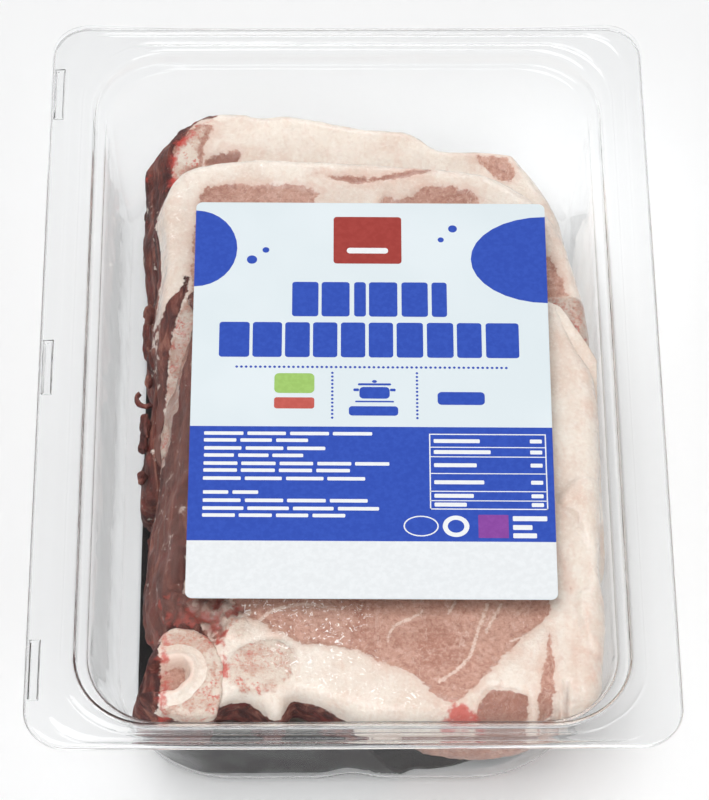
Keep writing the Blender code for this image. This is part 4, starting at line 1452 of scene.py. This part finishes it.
def make_scraps(look):
    """Small dried scraps and one curled thread of meat along the left edge."""
    made = []
    for x, y, z, thick, length in SCRAPS:
        bpy.ops.mesh.primitive_ico_sphere_add(subdivisions=4, radius=1.0, location=(x * MM, y * MM, z * MM))
        scrap = bpy.context.object
        scrap.scale = (thick * MM, length * MM, thick * 0.9 * MM)
        settle(scrap)
        push(scrap, 0.7 * MM * grain(coords(scrap), 2.2 * MM, y, 3))
        made.append(scrap)
    bpy.ops.mesh.primitive_torus_add(
        major_radius=HOOK_RADIUS,
        minor_radius=HOOK_THREAD,
        major_segments=40,
        minor_segments=12,
        location=HOOK_CENTRE,
    )
    hook = bpy.context.object
    settle(hook)
    edit(hook)
    bpy.ops.mesh.bisect(plane_co=HOOK_CENTRE, plane_no=(0.75, 0.66, 0.0), clear_outer=True, use_fill=True)
    leave()
    push(hook, 0.25 * MM * grain(coords(hook), 1.6 * MM, 4.0))
    made.append(hook)
    piece = join(made, "edge_scraps")
    fields = {"side": np.full(len(piece.data.vertices), 4.0)}
    finish_meat(piece, look, fields)
    return piece


# Setting.


def make_floor(look):
    bpy.ops.mesh.primitive_plane_add(size=2.0, location=(0.0, 0.0, 0.0))
    floor = bpy.context.object
    floor.name = "floor"
    floor.scale = (6.0, 6.0, 1.0)
    settle(floor)
    floor.data.materials.append(look)


def area_lamp(name, place, target, size, power):
    lamp = bpy.data.lights.new(name, "AREA")
    lamp.shape = "RECTANGLE"
    lamp.size, lamp.size_y = size
    lamp.energy = power
    holder = bpy.data.objects.new(name, lamp)
    bpy.context.scene.collection.objects.link(holder)
    holder.location = place
    holder.rotation_euler = (Vector(target) - Vector(place)).to_track_quat("-Z", "Y").to_euler()


def make_world():
    """A pale room, greyer at eye level and overhead, where the clear plastic and the film mirror it."""
    world = bpy.data.worlds.new("studio")
    bpy.context.scene.world = world
    world.use_nodes = True
    tree = world.node_tree
    direction = put(tree, "ShaderNodeTexCoord").outputs["Generated"]
    height = put(tree, "ShaderNodeSeparateXYZ", {"Vector": direction}).outputs["Z"]
    shade = mix(tree, step(tree, height, 0.05, 0.4), swatch(*HORIZON_GREY), swatch(255, 255, 255))
    shade = mix(tree, step(tree, height, 0.55, 0.78), shade, swatch(*OVERHEAD_GREY))
    background = tree.nodes["Background"]
    tree.links.new(shade, background.inputs["Color"])
    background.inputs["Strength"].default_value = WORLD_STRENGTH


def make_camera():
    """The camera's axes come from its elevation, its yaw and its roll about the line of sight."""
    camera = bpy.data.cameras.new("camera")
    camera.sensor_fit = "VERTICAL"
    camera.sensor_height = SENSOR_HEIGHT
    camera.lens = CAMERA_LENS
    camera.clip_start = 0.01
    holder = bpy.data.objects.new("camera", camera)
    bpy.context.scene.collection.objects.link(holder)
    flat = math.cos(CAMERA_ELEVATION)
    back = Vector((math.sin(CAMERA_YAW) * flat, -math.cos(CAMERA_YAW) * flat, math.sin(CAMERA_ELEVATION)))
    right = Vector((0.0, 0.0, 1.0)).cross(back).normalized()
    up = back.cross(right)
    turned = math.cos(CAMERA_ROLL) * right + math.sin(CAMERA_ROLL) * up
    upward = math.cos(CAMERA_ROLL) * up - math.sin(CAMERA_ROLL) * right
    axes = Matrix((turned, upward, back)).transposed().to_4x4()
    holder.matrix_world = Matrix.Translation(CAMERA_TARGET + back * CAMERA_DISTANCE) @ axes
    bpy.context.scene.camera = holder


def build():
    groups = {"fat": fat_group(), "lean": lean_group(), "bone": bone_group(), "side": chine_group()}
    pork = raw_pork(groups)
    tray = make_tray(clear_plastic("tray_plastic", *TRAY_PLASTIC))
    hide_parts("tray")
    film = make_film(clear_plastic("lid_plastic", *FILM_PLASTIC))
    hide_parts("lid_film")
    label = make_label(label_paper())
    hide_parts("label")
    prints = make_print()
    pad = make_pad(pad_cloth())
    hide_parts("soak_pad")
    meat = [make_rear_chop(pork), make_lower_chop(pork), make_middle_chop(pork), make_front_chop(pork)]
    meat += [make_vertebra(pork), make_scraps(pork)]
    for piece in [tray, film, label, pad] + prints + meat:
        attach(piece, "root")


build()
make_floor(floor_card())
make_world()
for lamp in LAMPS:
    area_lamp(*lamp)
make_camera()
bpy.context.scene.view_settings.view_transform = "Standard"
